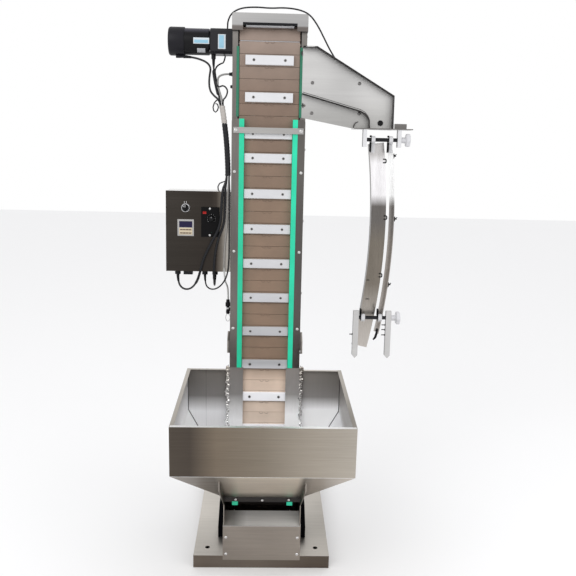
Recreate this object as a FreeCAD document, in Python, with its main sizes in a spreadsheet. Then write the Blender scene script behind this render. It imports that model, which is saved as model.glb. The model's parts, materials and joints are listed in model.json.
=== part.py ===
import FreeCAD, Part
import math
import os
import re
import Sketcher
from FreeCAD import Placement, Rotation, Vector

# Cap elevator: a leaning cleated slat chain lifts caps out of a hopper to a side chute.
# Millimetres. X to the right, Y away from the front, Z up. Pieces are laid out from the
# middle of the base pan; the document's origin is on the floor under the machine's middle.

SIZES = {
    # base pan
    "base_wide": 458, "base_deep": 600, "base_high": 45, "base_sheet": 3,
    "anchor_gap_wide": 370, "anchor_gap_deep": 500, "anchor_hole": 16,
    # column: it leans back and is laid out from the tail shaft
    "lean": 3, "tail_back": -101.2, "tail_up": 156.4,
    "column_half": 117.5, "column_sheet": 2, "column_back_depth": 90, "back_sheet": 1.5,
    "column_foot": -98, "web_top": 78,
    # chain
    "chain_pitch": 38.1, "straight_slats": 41, "wrap_slats": 5,
    "slat_half": 95.25, "slat_thick": 4.8, "slat_top_over_pin": 7.5, "slat_gap": 1,
    "eye_half": 4.6, "eye_wide": 19,
    "cleat_half": 76, "cleat_tall": 30, "cleat_thick": 10, "cleat_every": 3, "cleat_start": 33,
    "cleat_bevel": 1.5,
    # shafts
    "shaft_radius": 12.5, "shaft_play": 0.05, "sprocket_tip": 56, "sprocket_root": 47,
    "sprocket_half": 18, "hub_radius": 25, "hub_half": 30, "bearing_half": 31,
    "bearing_long": 14,
    # column front: flanges, guide strips and the bar across
    "flange_inner": 100, "low_flange_inner": 88, "low_flange_lift": 12,
    "low_flange_bottom": 504, "low_flange_top": 1323, "flange_corner": 8,
    "strip_inner": 77.5, "strip_outer": 93.5, "strip_clear": 1, "strip_proud": 2,
    "high_strip_half": 96.25, "high_strip_wide": 8, "high_strip_proud": 3,
    "high_strip_deep": 9, "high_strip_bottom": 1330, "high_strip_top": 1546,
    "bar_low": 1278, "bar_tall": 18.5, "bar_thick": 5, "bar_half": 112, "bar_foot_inner": 99,
    "lug_low": 548, "lug_high": 591, "lug_peak": 614, "lug_wide": 10,
    "lug_front": -60, "lug_back": -20,
    # header cover
    "header_half": 119, "header_sheet": 1.5, "header_low": 1593, "header_top": 1645,
    "header_front": -84.5, "header_corner": 8, "notch_half": 85, "notch_top": 1608,
    # inside the column
    "rail_inner": 45, "rail_wide": 12, "rail_clear": 0.5, "rail_low": 70, "rail_high": 1492,
    "spacer_half": 8, "spacer_low": 200, "spacer_step": 310, "spacer_count": 5,
    # boot
    "boot_half": 128.5, "boot_sheet": 3, "boot_front": -300, "boot_back": 60,
    "boot_face_low": 246, "boot_shoulder": 420, "boot_shoulder_back": -40,
    "boot_flange": 26, "packing_front": -130, "packing_back": -40, "packing_low": 66,
    "packing_high": 400,
    "gusset_front": -560, "gusset_root": 232, "gusset_nose": 421,
    "foot_outer": 153, "foot_front": -184, "foot_step": 40, "foot_run": 81, "foot_rise": 45,
    "foot_back": -60,
    "cover_half": 130, "cover_sheet": 1.5, "cover_low": 30, "cover_high": 157,
    "cover_return": 25, "cover_slope_back": -250, "cover_slope_high": 185,
    "floor_high": 240, "floor_low": 190, "floor_back": -184, "floor_sheet": 2.5,
    "tip_inner": 81, "tip_outer": 100, "tip_low": 231, "tip_high": 262, "tip_thick": 10,
    # hopper
    "hopper_half": 260.3, "hopper_sheet": 2, "hopper_front": -636, "hopper_back": -147,
    "hopper_low": 507, "hopper_high": 655, "rim_wide": 10, "throat_half": 126,
    "throat_high": 263,
    "guard_inner": 72, "guard_outer": 124, "guard_leg": 31, "guard_low": 40,
    # gearmotor
    "gearbox_long": 72, "gearbox_low": 1526, "gearbox_high": 1604, "gearbox_front": -40,
    "gearbox_back": 34, "gearbox_corner": 8, "motor_radius": 43, "motor_long": 84,
    "motor_step": 3, "motor_up": 1565, "motor_back": -3, "fan_radius": 44.5, "fan_long": 51,
    "fan_corner": 5,
    # discharge chute
    "chute_inner": 104.25, "chute_shoulder": 148.5, "chute_right": 396.5, "chute_top": 1547.5,
    "chute_elbow": 1403, "chute_low": 1301, "chute_step": 268, "chute_left_low": 1330.5,
    "chute_sheet": 2, "chute_deep": 30, "rib_start": 1405, "rib_elbow_right": 294,
    "rib_elbow_up": 1354, "rib_right": 321, "rib_turn": 24, "rib_low": 1301,
    "nozzle_right": 109, "nozzle_up": 1368.7, "nozzle_radius": 4,
    "sensor_right": 358.8, "sensor_up": 1319.5, "sensor_radius": 9, "sensor_long": 48,
    "shelf_thick": 3, "shelf_right": 456, "shelf_front": -124, "shelf_back": -56,
    "shelf_hole_left": 323, "shelf_hole_right": 394,
    # rail clamps
    "rod_radius": 6, "rod_v": -111, "rod_up": 1266, "low_rod_up": 689,
    "block_thick": 12, "block_left": 299, "block_right": 409, "block_low": 1243,
    "block_front": -122, "block_back": -98, "ring_radius": 12, "ring_play": 0.05,
    "ring_long": 12, "ring_clear": 0.3, "foot_drop": 40, "knob_radius": 22, "knob_long": 28,
    "knob_hub": 9, "knob_hub_long": 14, "knob_clear": 0.3,
    "bow_left": -1560, "bow_up": 1000, "left_bow": 1897.5, "left_plate": 52.5,
    "right_bow": 1960, "right_plate": 13, "rail_sheet": 2, "rail_v": -71, "rail_deep": 30,
    "left_low": 589, "left_high": 1252, "right_low": 634, "right_high": 1252,
    "fork_wide": 18, "fork_thick": 12, "fork_low": 552, "fork_high": 712, "fork_point": 10,
    "fork_left": 290, "fork_right": 398,
    # control box
    "box_left": -329, "box_low": 828, "box_high": 1091, "box_front": -74, "box_back": 46,
    "box_sheet": 2, "panel_sheet": 2,
    "selector_x": -265, "selector_up": 1036, "selector_radius": 15, "selector_grip": 11,
    "counter_left": -291, "counter_right": -238, "counter_low": 945, "counter_high": 999,
    "counter_proud": 3,
    "speed_left": -214, "speed_right": -155, "speed_low": 943, "speed_high": 1040,
    "speed_proud": 4, "dial_x": -181, "dial_up": 1003, "dial_radius": 9, "dial_long": 12,
    "rocker_x": -203, "rocker_up": 1022, "turn_pin": 3,
    "gland_radius": 9, "gland_long": 18, "gland_v": -20, "socket_left": -277,
    "socket_right": -247, "socket_tall": 18,
    # leads and air line
    "lead_gland_radius": 7, "lead_gland_long": 14, "gearbox_lead_x": -181,
    "gearbox_lead_v": -10, "valve_x": -127.5, "valve_v": -25, "valve_low": 676,
    "valve_high": 726, "valve_radius": 6.5, "fitting_v": -30, "fitting_up": 1464,
    "fitting_long": 12, "motor_lead_thick": 6.5, "gearbox_lead_thick": 6, "air_tube_thick": 6,
    "sensor_lead_thick": 5,
}

doc = FreeCAD.newDocument("cap_elevator")
sheet = doc.addObject("Spreadsheet::Sheet", "Sizes")
for row, (alias, value) in enumerate(SIZES.items(), start=1):
    sheet.set("A%d" % row, alias)
    sheet.set("B%d" % row, str(value))
    sheet.setAlias("B%d" % row, alias)
doc.recompute()


class Values:
    """The driving dimensions as the sheet holds them, for places worked out in code."""

    def __getattr__(self, alias):
        return float(sheet.get(alias))


size = Values()
NODES = {}


def bound(text):
    """Point every size name in an expression at the sheet."""
    def prefixed(match):
        return "Sizes." + match.group(0) if match.group(0) in SIZES else match.group(0)
    return re.sub(r"[a-z][a-z_]*", prefixed, str(text))


# Frames: pieces of the column are laid out along it, with local Z up the slats.
FLOOR = Placement(Vector(-(size.box_left + size.shelf_right) / 2,
                         -(size.hopper_front + size.base_deep / 2) / 2, 0), Rotation())
COLUMN = FLOOR.multiply(Placement(Vector(0, size.tail_back, size.tail_up),
                                  Rotation(Vector(1, 0, 0), -size.lean)))


def new_body(label, frame=FLOOR, keep=True):
    body = doc.addObject("PartDesign::Body", label)
    body.Label = label
    body.AllowCompound = True
    body.Placement = frame
    if keep:
        NODES[label] = body
    return body


def sketch_on(body, plane, offset):
    """A sketch on one of the body's own planes, moved along that plane's normal."""
    sketch = body.newObject("Sketcher::SketchObject", body.Label + "_sketch")
    support = [feature for feature in body.Origin.OriginFeatures if feature.Role == plane + "_Plane"]
    sketch.AttachmentSupport = (support[0], "")
    sketch.MapMode = "FlatFace"
    sketch.setExpression("AttachmentOffset.Base.z", bound(offset))
    return sketch


def pin_down(sketch, geometry, point, u, v, guess):
    """Tie one point of the sketch to two expressions."""
    for kind, expression, value in (("DistanceX", u, guess[0]), ("DistanceY", v, guess[1])):
        index = sketch.addConstraint(Sketcher.Constraint(kind, -1, 1, geometry, point, value))
        sketch.setExpression("Constraints[%d]" % index, bound(expression))


def draw_outline(sketch, points):
    """A closed outline of straight sides through points given as expressions."""
    count = len(points)
    guesses = [(10 * math.cos(2 * math.pi * i / count), 10 * math.sin(2 * math.pi * i / count))
               for i in range(count)]
    sides = []
    for i in range(count):
        start = Vector(*guesses[i], 0)
        end = Vector(*guesses[(i + 1) % count], 0)
        sides.append(sketch.addGeometry(Part.LineSegment(start, end)))
    for i in range(count):
        sketch.addConstraint(Sketcher.Constraint("Coincident", sides[i], 2, sides[(i + 1) % count], 1))
    for i, (u, v) in enumerate(points):
        pin_down(sketch, sides[i], 1, u, v, guesses[i])


def draw_circle(sketch, u, v, radius):
    circle = sketch.addGeometry(Part.Circle(Vector(1, 1, 0), Vector(0, 0, 1), 1))
    pin_down(sketch, circle, 3, u, v, (1, 1))
    index = sketch.addConstraint(Sketcher.Constraint("Radius", circle, 1))
    sketch.setExpression("Constraints[%d]" % index, bound(radius))


def draw(sketch, shapes):
    """Draw outlines (lists of points) and circles (tuples of centre and radius)."""
    for shape in shapes:
        if isinstance(shape, tuple):
            draw_circle(sketch, *shape)
        else:
            draw_outline(sketch, shape)


def pad(body, plane, shapes, low, high):
    """Add material between two places along the plane's world axis."""
    offset = "-(%s)" % high if plane == "XZ" else low
    sketch = sketch_on(body, plane, offset)
    draw(sketch, shapes)
    feature = body.newObject("PartDesign::Pad", body.Label + "_pad")
    feature.Profile = sketch
    feature.setExpression("Length", bound("(%s) - (%s)" % (high, low)))
    sketch.Visibility = False
    return feature


def pocket(body, plane, shapes, low, high):
    """Take material away between two places along the plane's world axis."""
    offset = "-(%s)" % low if plane == "XZ" else high
    sketch = sketch_on(body, plane, offset)
    draw(sketch, shapes)
    feature = body.newObject("PartDesign::Pocket", body.Label + "_pocket")
    feature.Profile = sketch
    feature.setExpression("Length", bound("(%s) - (%s)" % (high, low)))
    CUTS.append((body, feature))
    return feature


CUTS = []


def prism(label, plane, shapes, spans, frame=FLOOR, keep=True):
    """A body of one profile, padded over one or more spans."""
    body = new_body(label, frame, keep)
    for low, high in spans:
        pad(body, plane, shapes, low, high)
    return body


def rectangle(left, low, right, high):
    return [(left, low), (right, low), (right, high), (left, high)]


def regular(u, v, flat, sides):
    """A regular outline about a centre; flat is the distance from there to each side."""
    corner = "(%s) / cos(%s deg)" % (flat, 180 / sides)
    return [("%s + %s * cos(%s deg)" % (u, corner, 360 * (i + 0.5) / sides),
             "%s + %s * sin(%s deg)" % (v, corner, 360 * (i + 0.5) / sides)) for i in range(sides)]


def both_sides(inner, low, outer, high):
    """The same rectangle on the right and, mirrored, on the left."""
    return [rectangle(inner, low, outer, high),
            rectangle("-(%s)" % outer, low, "-(%s)" % inner, high)]


def mirrored(points):
    return [("-(%s)" % u, v) for u, v in reversed(points)]


def round_edges(body, radius, wanted):
    """Fillet the edges of the body's last feature that the test picks out."""
    doc.recompute()
    last = body.Tip
    names = ["Edge%d" % (i + 1) for i, edge in enumerate(last.Shape.Edges) if wanted(edge)]
    fillet = body.newObject("PartDesign::Fillet", body.Label + "_fillet")
    fillet.Base = (last, names)
    fillet.setExpression("Radius", bound(radius))
    return fillet


def along(edge, axis):
    """Whether a straight edge runs along one of the axes x, y or z."""
    if len(edge.Vertexes) != 2 or edge.Curve.TypeId != "Part::GeomLine":
        return False
    run = edge.Vertexes[1].Point - edge.Vertexes[0].Point
    return abs(getattr(run, axis)) > 0.99 * run.Length


def group(label, shapes, frame):
    """Several equal or paired solids kept together as one piece of the list."""
    feature = doc.addObject("Part::Feature", label)
    feature.Label = label
    feature.Shape = Part.Compound(shapes)
    feature.Placement = frame
    NODES[label] = feature
    return feature


# Base pan: an upturned tray with four anchor holes
def make_base():
    base = prism("base_pan", "XY",
                 [rectangle("-base_wide/2", "-base_deep/2", "base_wide/2", "base_deep/2")],
                 [("0", "base_high")])
    inset = "base_sheet"
    pocket(base, "XY", [rectangle("-base_wide/2 + %s" % inset, "-base_deep/2 + %s" % inset,
                                  "base_wide/2 - %s" % inset, "base_deep/2 - %s" % inset)],
           "0", "base_high - base_sheet")
    anchors = [("%sanchor_gap_wide/2" % a, "%sanchor_gap_deep/2" % b, "anchor_hole/2")
               for a in ("-", "") for b in ("-", "")]
    pocket(base, "XY", anchors, "base_high - base_sheet", "base_high")


# Boot: side plates, foot blocks, throat face, sloping floor and the screwed lower cover
def make_boot():
    inner = "(boot_half - boot_sheet)"
    ratio = "((hopper_low - throat_high) / (boot_front - hopper_front - hopper_sheet))"
    drop = "(hopper_sheet * sqrt(1 + %s^2))" % ratio
    gusset_top = "throat_high - %s + (boot_front - gusset_front) * %s" % (drop, ratio)
    side = [("boot_front", "base_high"), ("boot_front", "gusset_root"),
            ("gusset_front", "gusset_nose"), ("gusset_front", gusset_top),
            ("boot_front", "throat_high - %s" % drop),
            ("hopper_back + 1", "throat_high - %s" % drop),
            ("hopper_back + 1", "boot_shoulder"), ("boot_shoulder_back", "boot_shoulder"),
            ("boot_back", "throat_high"), ("boot_back", "base_high")]
    sides = prism("boot_sides", "YZ", [side], [(inner, "boot_half"), ("-boot_half", "-%s" % inner)])
    pad(sides, "XY", both_sides("%s - boot_flange" % inner, "boot_front + 30", inner, "boot_back"),
        "base_high", "base_high + boot_sheet")
    pad(sides, "XY", both_sides("column_half", "packing_front", inner, "packing_back"),
        "packing_low", "packing_high")
    block = [("foot_front", "base_high"), ("foot_front", "base_high + foot_step"),
             ("foot_front + foot_run", "base_high + foot_step + foot_rise"),
             ("foot_back", "base_high + foot_step + foot_rise"), ("foot_back", "base_high")]
    prism("foot_blocks", "YZ", [block], [("boot_half", "foot_outer"),
                                         ("-foot_outer", "-boot_half")])
    prism("boot_face", "XZ", [rectangle("-%s" % inner, "boot_face_low", inner, "throat_high")],
          [("boot_front", "boot_front + boot_sheet")])
    floor = [("boot_front + boot_sheet + tip_thick", "floor_high"), ("floor_back", "floor_low"),
             ("floor_back", "floor_low - floor_sheet"),
             ("boot_front + boot_sheet + tip_thick", "floor_high - floor_sheet")]
    prism("boot_floor", "YZ", [floor], [("-%s" % inner, inner)])
    cover = prism("boot_cover", "XZ", [rectangle("-cover_half", "cover_low", "cover_half", "cover_high")],
                  [("boot_front - cover_sheet", "boot_front")])
    pad(cover, "XY", both_sides("cover_half - cover_sheet", "boot_front", "cover_half",
                                "boot_front + cover_return"), "base_high + 1", "cover_high")
    slope = [("boot_front - cover_sheet", "cover_high - cover_sheet"),
             ("boot_front - cover_sheet", "cover_high"), ("cover_slope_back", "cover_slope_high"),
             ("cover_slope_back", "cover_slope_high - cover_sheet")]
    pad(cover, "YZ", [slope], "-%s + 0.5" % inner, "%s - 0.5" % inner)


# Hopper: sheets above the boot with a rim turned inwards; each side wall and the slope
# below it are one folded sheet
def make_hopper():
    inside = "(hopper_half - hopper_sheet)"
    front_inside = "(hopper_front + hopper_sheet)"
    back_inside = "(hopper_back - hopper_sheet)"
    rim_low = "hopper_high - hopper_sheet"
    front = prism("hopper_front", "XZ",
                  [rectangle("-hopper_half", "hopper_low", "hopper_half", "hopper_high")],
                  [("hopper_front", front_inside)])
    pad(front, "XZ", [rectangle("-%s" % inside, rim_low, inside, "hopper_high")],
        front_inside, "%s + rim_wide" % front_inside)
    steep = "((hopper_low - throat_high) / (%s - throat_half))" % inside
    stretch = "sqrt(1 + %s^2)" % steep
    slope = [(inside, "hopper_low"), ("throat_half", "throat_high"),
             ("throat_half + hopper_sheet * %s / %s" % (steep, stretch),
              "throat_high - hopper_sheet / %s" % stretch),
             ("hopper_half", "hopper_low - hopper_sheet * (%s - %s)" % (stretch, steep)),
             ("hopper_half", "hopper_low")]
    ahead = [("%s - 1" % front_inside, "hopper_low"), (front_inside, "hopper_low"),
             ("boot_front", "throat_high"), ("boot_front", "throat_high - 10"),
             ("%s - 1" % front_inside, "throat_high - 10")]
    for name, sign in (("left", "-"), ("right", "")):
        wall = new_body("hopper_side_" + name)
        edges = (inside, "hopper_half") if sign == "" else ("-hopper_half", "-%s" % inside)
        pad(wall, "XZ", [slope if sign == "" else mirrored(slope)], front_inside, back_inside)
        span = ("throat_half - 1", "hopper_half") if sign == "" else ("-hopper_half",
                                                                      "-throat_half + 1")
        pocket(wall, "YZ", [ahead], *span)
        pad(wall, "YZ", [rectangle(front_inside, "hopper_low", "hopper_back", "hopper_high")], *edges)
        lip = ("%s - rim_wide" % inside, inside)
        if sign == "-":
            lip = ("-%s" % inside, "-(%s - rim_wide)" % inside)
        pad(wall, "YZ", [rectangle("%s + rim_wide" % front_inside, rim_low,
                                   back_inside, "hopper_high")], *lip)
    shape = [("guard_outer", "hopper_high"), ("guard_outer", "throat_high"),
             ("throat_half", "throat_high"), (inside, "hopper_low"), (inside, "hopper_high")]
    back = prism("hopper_back", "XZ", [shape, mirrored(shape)], [(back_inside, "hopper_back")])
    pad(back, "XZ", both_sides("guard_outer", rim_low, "%s - rim_wide" % inside, "hopper_high"),
        "%s - rim_wide" % back_inside, back_inside)
    run = size.boot_front - size.hopper_front - size.hopper_sheet
    fall = size.hopper_low - size.throat_high
    frame = FLOOR.multiply(Placement(Vector(0, size.hopper_front + size.hopper_sheet,
                                            size.hopper_low),
                                     Rotation(Vector(1, 0, 0),
                                              -math.degrees(math.atan2(fall, run)))))
    long_front = "sqrt((boot_front - %s)^2 + (hopper_low - throat_high)^2)" % front_inside
    prism("hopper_slope_front", "XY",
          [[("-%s" % inside, "0"), (inside, "0"), ("throat_half", long_front),
            ("-throat_half", long_front)]], [("-hopper_sheet", "0")], frame)


# Column: two folded side sheets, a back sheet, spacers and slide rails
def make_column():
    front = "-(pitch_radius + slat_top_over_pin)"
    web = rectangle(front, "column_foot", "column_back_depth", "head_up + web_top")
    web_inner = "(column_half - column_sheet)"
    sides = prism("column_sides", "YZ", [web],
                  [(web_inner, "column_half"), ("-column_half", "-%s" % web_inner)], COLUMN)
    pad(sides, "XZ", both_sides("flange_inner", "column_foot", web_inner, "head_up + web_top"),
        front, "%s + column_sheet" % front)
    pad(sides, "XZ", both_sides("%s - 12" % web_inner, "column_foot", web_inner,
                                "head_up + web_top"),
        "column_back_depth - column_sheet", "column_back_depth")
    lug = [("lug_front", "lug_low"), ("lug_back", "lug_low"), ("lug_back", "lug_peak"),
           ("lug_front", "lug_high")]
    pad(sides, "YZ", [lug], "column_half", "column_half + lug_wide")
    pad(sides, "YZ", [lug], "-column_half - lug_wide", "-column_half")
    for low, high in ((web_inner, "column_half"), ("-column_half", "-%s" % web_inner)):
        pocket(sides, "YZ", [regular("0", "0", "shaft_radius + 4", 12),
                             regular("0", "head_up", "shaft_radius + 4", 12)], low, high)
    prism("column_back", "XZ",
          [rectangle("-column_half", "column_foot", "column_half", "header_low")],
          [("column_back_depth", "column_back_depth + back_sheet")], COLUMN)
    spacers = [rectangle("-spacer_half", "spacer_low + %d * spacer_step - spacer_half" % i,
                         "spacer_half", "spacer_low + %d * spacer_step + spacer_half" % i)
               for i in range(int(size.spacer_count))]
    prism("column_spacers", "YZ", spacers, [("-%s" % web_inner, web_inner)], COLUMN)
    face = "(pitch_radius + slat_top_over_pin - slat_thick - rail_clear)"
    rails = [rectangle("spacer_half", "rail_low", face, "rail_high"),
             rectangle("-%s" % face, "rail_low", "-spacer_half", "rail_high")]
    prism("slide_rails", "YZ", rails, [("rail_inner", "rail_inner + rail_wide"),
                                       ("-rail_inner - rail_wide", "-rail_inner")], COLUMN)


# Column front: raised lower flanges, green guide strips and the bar across
def make_column_front():
    slat_top = "(pitch_radius + slat_top_over_pin)"
    plate_back = "-(%s + low_flange_lift)" % slat_top
    plate_front = "(%s - column_sheet)" % plate_back
    web_inner = "(column_half - column_sheet)"
    flanges = prism("front_flanges", "XZ",
                    both_sides("low_flange_inner", "low_flange_bottom", "column_half", "low_flange_top"),
                    [(plate_front, plate_back)], COLUMN)
    pad(flanges, "XZ", both_sides(web_inner, "low_flange_bottom", "column_half", "low_flange_top"),
        plate_back, "-%s" % slat_top)
    top = size.low_flange_top
    round_edges(flanges, "flange_corner",
                lambda edge: along(edge, "y") and abs(edge.CenterOfMass.z - top) < 1
                and abs(abs(edge.CenterOfMass.x) - size.column_half) < 0.1)
    low = prism("strip_run", "XZ",
                both_sides("strip_inner", "low_flange_bottom", "strip_outer", "low_flange_top"),
                [("%s - strip_proud" % plate_front, "-%s - strip_clear" % slat_top)], COLUMN, False)
    pocket(low, "XZ", both_sides("low_flange_inner", "low_flange_bottom", "strip_outer",
                                 "low_flange_top"), plate_front, plate_back)
    tips = prism("strip_tips", "XZ", both_sides("tip_inner", "tip_low", "tip_outer", "tip_high"),
                 [("boot_front + boot_sheet", "boot_front + boot_sheet + tip_thick")], keep=False)
    doc.recompute()
    group("strips_lower", [low.Shape, tips.Shape], Placement())
    guard_back = "%s + guard_leg" % plate_back
    guards = prism("belt_guards", "XZ", both_sides("guard_inner", "guard_low", "guard_outer",
                                                   "low_flange_bottom"),
                   [(plate_front, plate_back)], COLUMN)
    pad(guards, "XZ", both_sides("guard_outer - column_sheet", "guard_low", "guard_outer",
                                 "low_flange_bottom"), plate_back, guard_back)
    high = prism("strips_upper", "XZ",
                 both_sides("high_strip_half", "high_strip_bottom", "high_strip_half + high_strip_wide",
                            "high_strip_top"),
                 [("-%s - high_strip_proud" % slat_top, "-%s + high_strip_deep" % slat_top)], COLUMN)
    pocket(high, "XZ", both_sides("flange_inner", "high_strip_bottom",
                                  "high_strip_half + high_strip_wide", "high_strip_top"),
           "-%s" % slat_top, "-%s + column_sheet" % slat_top)
    bar = prism("crossbar", "XZ", [rectangle("-bar_half", "bar_low", "bar_half", "bar_low + bar_tall")],
                [("%s - strip_proud - bar_thick" % plate_front, "%s - strip_proud" % plate_front)],
                COLUMN)
    pad(bar, "XZ", both_sides("bar_foot_inner", "bar_low", "bar_half", "bar_low + bar_tall"),
        "%s - strip_proud" % plate_front, plate_front)


# Header cover: a cap over the head shaft with a notch for the passing cleats
def make_header():
    back = "column_back_depth + back_sheet"
    header = prism("header_cover", "XZ",
                   [rectangle("-header_half", "header_low", "header_half", "header_top")],
                   [("header_front", "%s + header_sheet" % back)], COLUMN)
    round_edges(header, "header_corner",
                lambda edge: along(edge, "y") and edge.CenterOfMass.z > size.header_top - 1)
    pocket(header, "XZ", [rectangle("-column_half", "header_low", "column_half",
                                    "header_top - header_sheet")],
           "header_front + header_sheet", back)
    pocket(header, "XZ", [rectangle("-notch_half", "header_low", "notch_half", "notch_top")],
           "header_front", "header_front + header_sheet")


# Slat chain: one slat with its hinge eye, repeated round the two sprockets
def slat_shape():
    end = "chain_pitch/2 - slat_gap/2"
    under = "slat_top_over_pin - slat_thick"
    slat = prism("slat", "YZ", [rectangle("-(%s)" % end, under, end, "slat_top_over_pin")],
                 [("-slat_half", "slat_half")], keep=False)
    eye = [("chain_pitch/2 - 2.4 * eye_half", under), ("chain_pitch/2 - 0.8 * eye_half", "-eye_half"),
           ("chain_pitch/2 + 0.4 * eye_half", "-eye_half"), ("chain_pitch/2 + 0.4 * eye_half", "0"),
           (end, under)]
    pad(slat, "YZ", [eye], "-eye_wide", "eye_wide")
    cleat = [("-cleat_tall/2", "slat_top_over_pin"), ("cleat_tall/2", "slat_top_over_pin"),
             ("cleat_tall/2", "slat_top_over_pin + cleat_thick - cleat_bevel"),
             ("cleat_tall/2 - cleat_bevel", "slat_top_over_pin + cleat_thick"),
             ("-cleat_tall/2 + cleat_bevel", "slat_top_over_pin + cleat_thick"),
             ("-cleat_tall/2", "slat_top_over_pin + cleat_thick - cleat_bevel")]
    bar = prism("cleat", "YZ", [cleat], [("-cleat_half", "cleat_half")], keep=False)
    doc.recompute()
    return slat.Shape, bar.Shape


def chain_places():
    """Where each slat sits in the column frame: up the front, over, down the back, round."""
    straight = int(size.straight_slats)
    wrap = int(size.wrap_slats)
    radius = size.pitch_radius
    flat = radius * math.cos(math.pi / (2 * wrap))
    places = []
    for turn, bottom in ((0, True), (180, False)):
        for i in range(straight):
            along_run = (i + 0.5) * size.chain_pitch
            up = along_run if bottom else size.head_up - along_run
            places.append((turn, -radius * math.cos(math.radians(turn)), up))
        for i in range(wrap):
            angle = turn + (i + 0.5) * 180 / wrap
            centre_up = size.head_up if bottom else 0
            places.append((angle, -flat * math.cos(math.radians(angle)),
                           centre_up + flat * math.sin(math.radians(angle))))
    return [Placement(Vector(0, depth, up), Rotation(Vector(1, 0, 0), 90 - angle))
            for angle, depth, up in places]


def make_chain():
    slat, cleat = slat_shape()
    places = chain_places()
    slats = []
    for place in places:
        copy = slat.copy()
        copy.Placement = place
        slats.append(copy)
    count = len(places)
    step = int(size.cleat_every)
    bars = []
    for i in range(count // step + 1):
        copy = cleat.copy()
        copy.Placement = places[(int(size.cleat_start) + step * i) % count]
        bars.append(copy)
    group("chain_slats", slats, COLUMN)
    group("cleats", bars, COLUMN)


# Shafts: each turns in two bearings and carries one toothed drum under the hinge eyes
def make_drive(name, up, left, right):
    frame = COLUMN.multiply(Placement(Vector(0, 0, up), Rotation()))
    prism(name + "_shaft", "YZ", [("0", "0", "shaft_radius")], [(left, right)], frame)
    step = 180 / size.wrap_slats
    wheel = []
    for i in range(2 * int(size.wrap_slats)):
        for reach, angle in (("sprocket_root", -0.36), ("sprocket_tip", -0.22),
                             ("sprocket_tip", 0.22), ("sprocket_root", 0.36)):
            turn = step * (i + angle)
            wheel.append(("%s * cos(%.4f deg)" % (reach, turn), "%s * sin(%.4f deg)" % (reach, turn)))
    sprocket = prism(name + "_sprocket", "YZ", [wheel], [("-sprocket_half", "sprocket_half")], frame)
    pad(sprocket, "YZ", [regular("0", "0", "hub_radius", 12)], "-hub_half", "hub_half")
    pocket(sprocket, "YZ", [regular("0", "0", "shaft_radius", 16)], "-hub_half", "hub_half")


def make_bearings():
    web_inner = "(column_half - column_sheet)"
    bearings = new_body("bearings", COLUMN)
    for low, high in (("%s - bearing_long" % web_inner, web_inner),
                      ("-%s" % web_inner, "-(%s - bearing_long)" % web_inner)):
        pad(bearings, "YZ", [regular("0", "0", "bearing_half", 8),
                             regular("0", "head_up", "bearing_half", 8)], low, high)
        pocket(bearings, "YZ", [("0", "0", "shaft_radius + shaft_play"),
                                ("0", "head_up", "shaft_radius + shaft_play")], low, high)


# Gearmotor on the left of the head
def make_motor():
    start = "-column_half"
    body = "-header_half - 0.3"
    chamfered = [("gearbox_front", "gearbox_low + gearbox_corner"),
                 ("gearbox_front + gearbox_corner", "gearbox_low"),
                 ("gearbox_back - gearbox_corner", "gearbox_low"),
                 ("gearbox_back", "gearbox_low + gearbox_corner"),
                 ("gearbox_back", "gearbox_high - gearbox_corner"),
                 ("gearbox_back - gearbox_corner", "gearbox_high"),
                 ("gearbox_front + gearbox_corner", "gearbox_high"),
                 ("gearbox_front", "gearbox_high - gearbox_corner")]
    gearbox = prism("gearbox", "YZ", [chamfered], [("%s - gearbox_long" % start, body)], COLUMN)
    pad(gearbox, "YZ", [rectangle("gearbox_front + 2", "gearbox_low + 2", "gearbox_back - 2",
                                  "header_low - 1")], body, start)
    pocket(gearbox, "YZ", [regular("0", "head_up", "shaft_radius + shaft_play", 16)],
           "%s - 44" % start, start)
    pad(gearbox, "XY", [regular("gearbox_lead_x", "gearbox_lead_v", "lead_gland_radius", 6)],
        "gearbox_low - lead_gland_long", "gearbox_low")
    frame = COLUMN.multiply(Placement(Vector(-size.column_half - size.gearbox_long, size.motor_back,
                                             size.motor_up), Rotation()))
    motor = prism("motor_body", "YZ", [regular("0", "0", "motor_radius - motor_step", 24)],
                  [("-10", "0")], frame)
    pad(motor, "YZ", [regular("0", "0", "motor_radius", 24)], "-motor_long", "-10")
    frame = frame.multiply(Placement(Vector(-size.motor_long, 0, 0), Rotation()))
    fan = prism("fan_cover", "YZ", [regular("0", "0", "fan_radius", 24)],
                [("-fan_long + fan_corner", "0")], frame)
    pad(fan, "YZ", [regular("0", "0", "fan_radius - fan_corner/2", 24)], "-fan_long",
        "-fan_long + fan_corner")
    pad(fan, "YZ", [regular("-9", "-fan_radius - 3.5", "lead_gland_radius", 6)], "-28", "-4")


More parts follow.
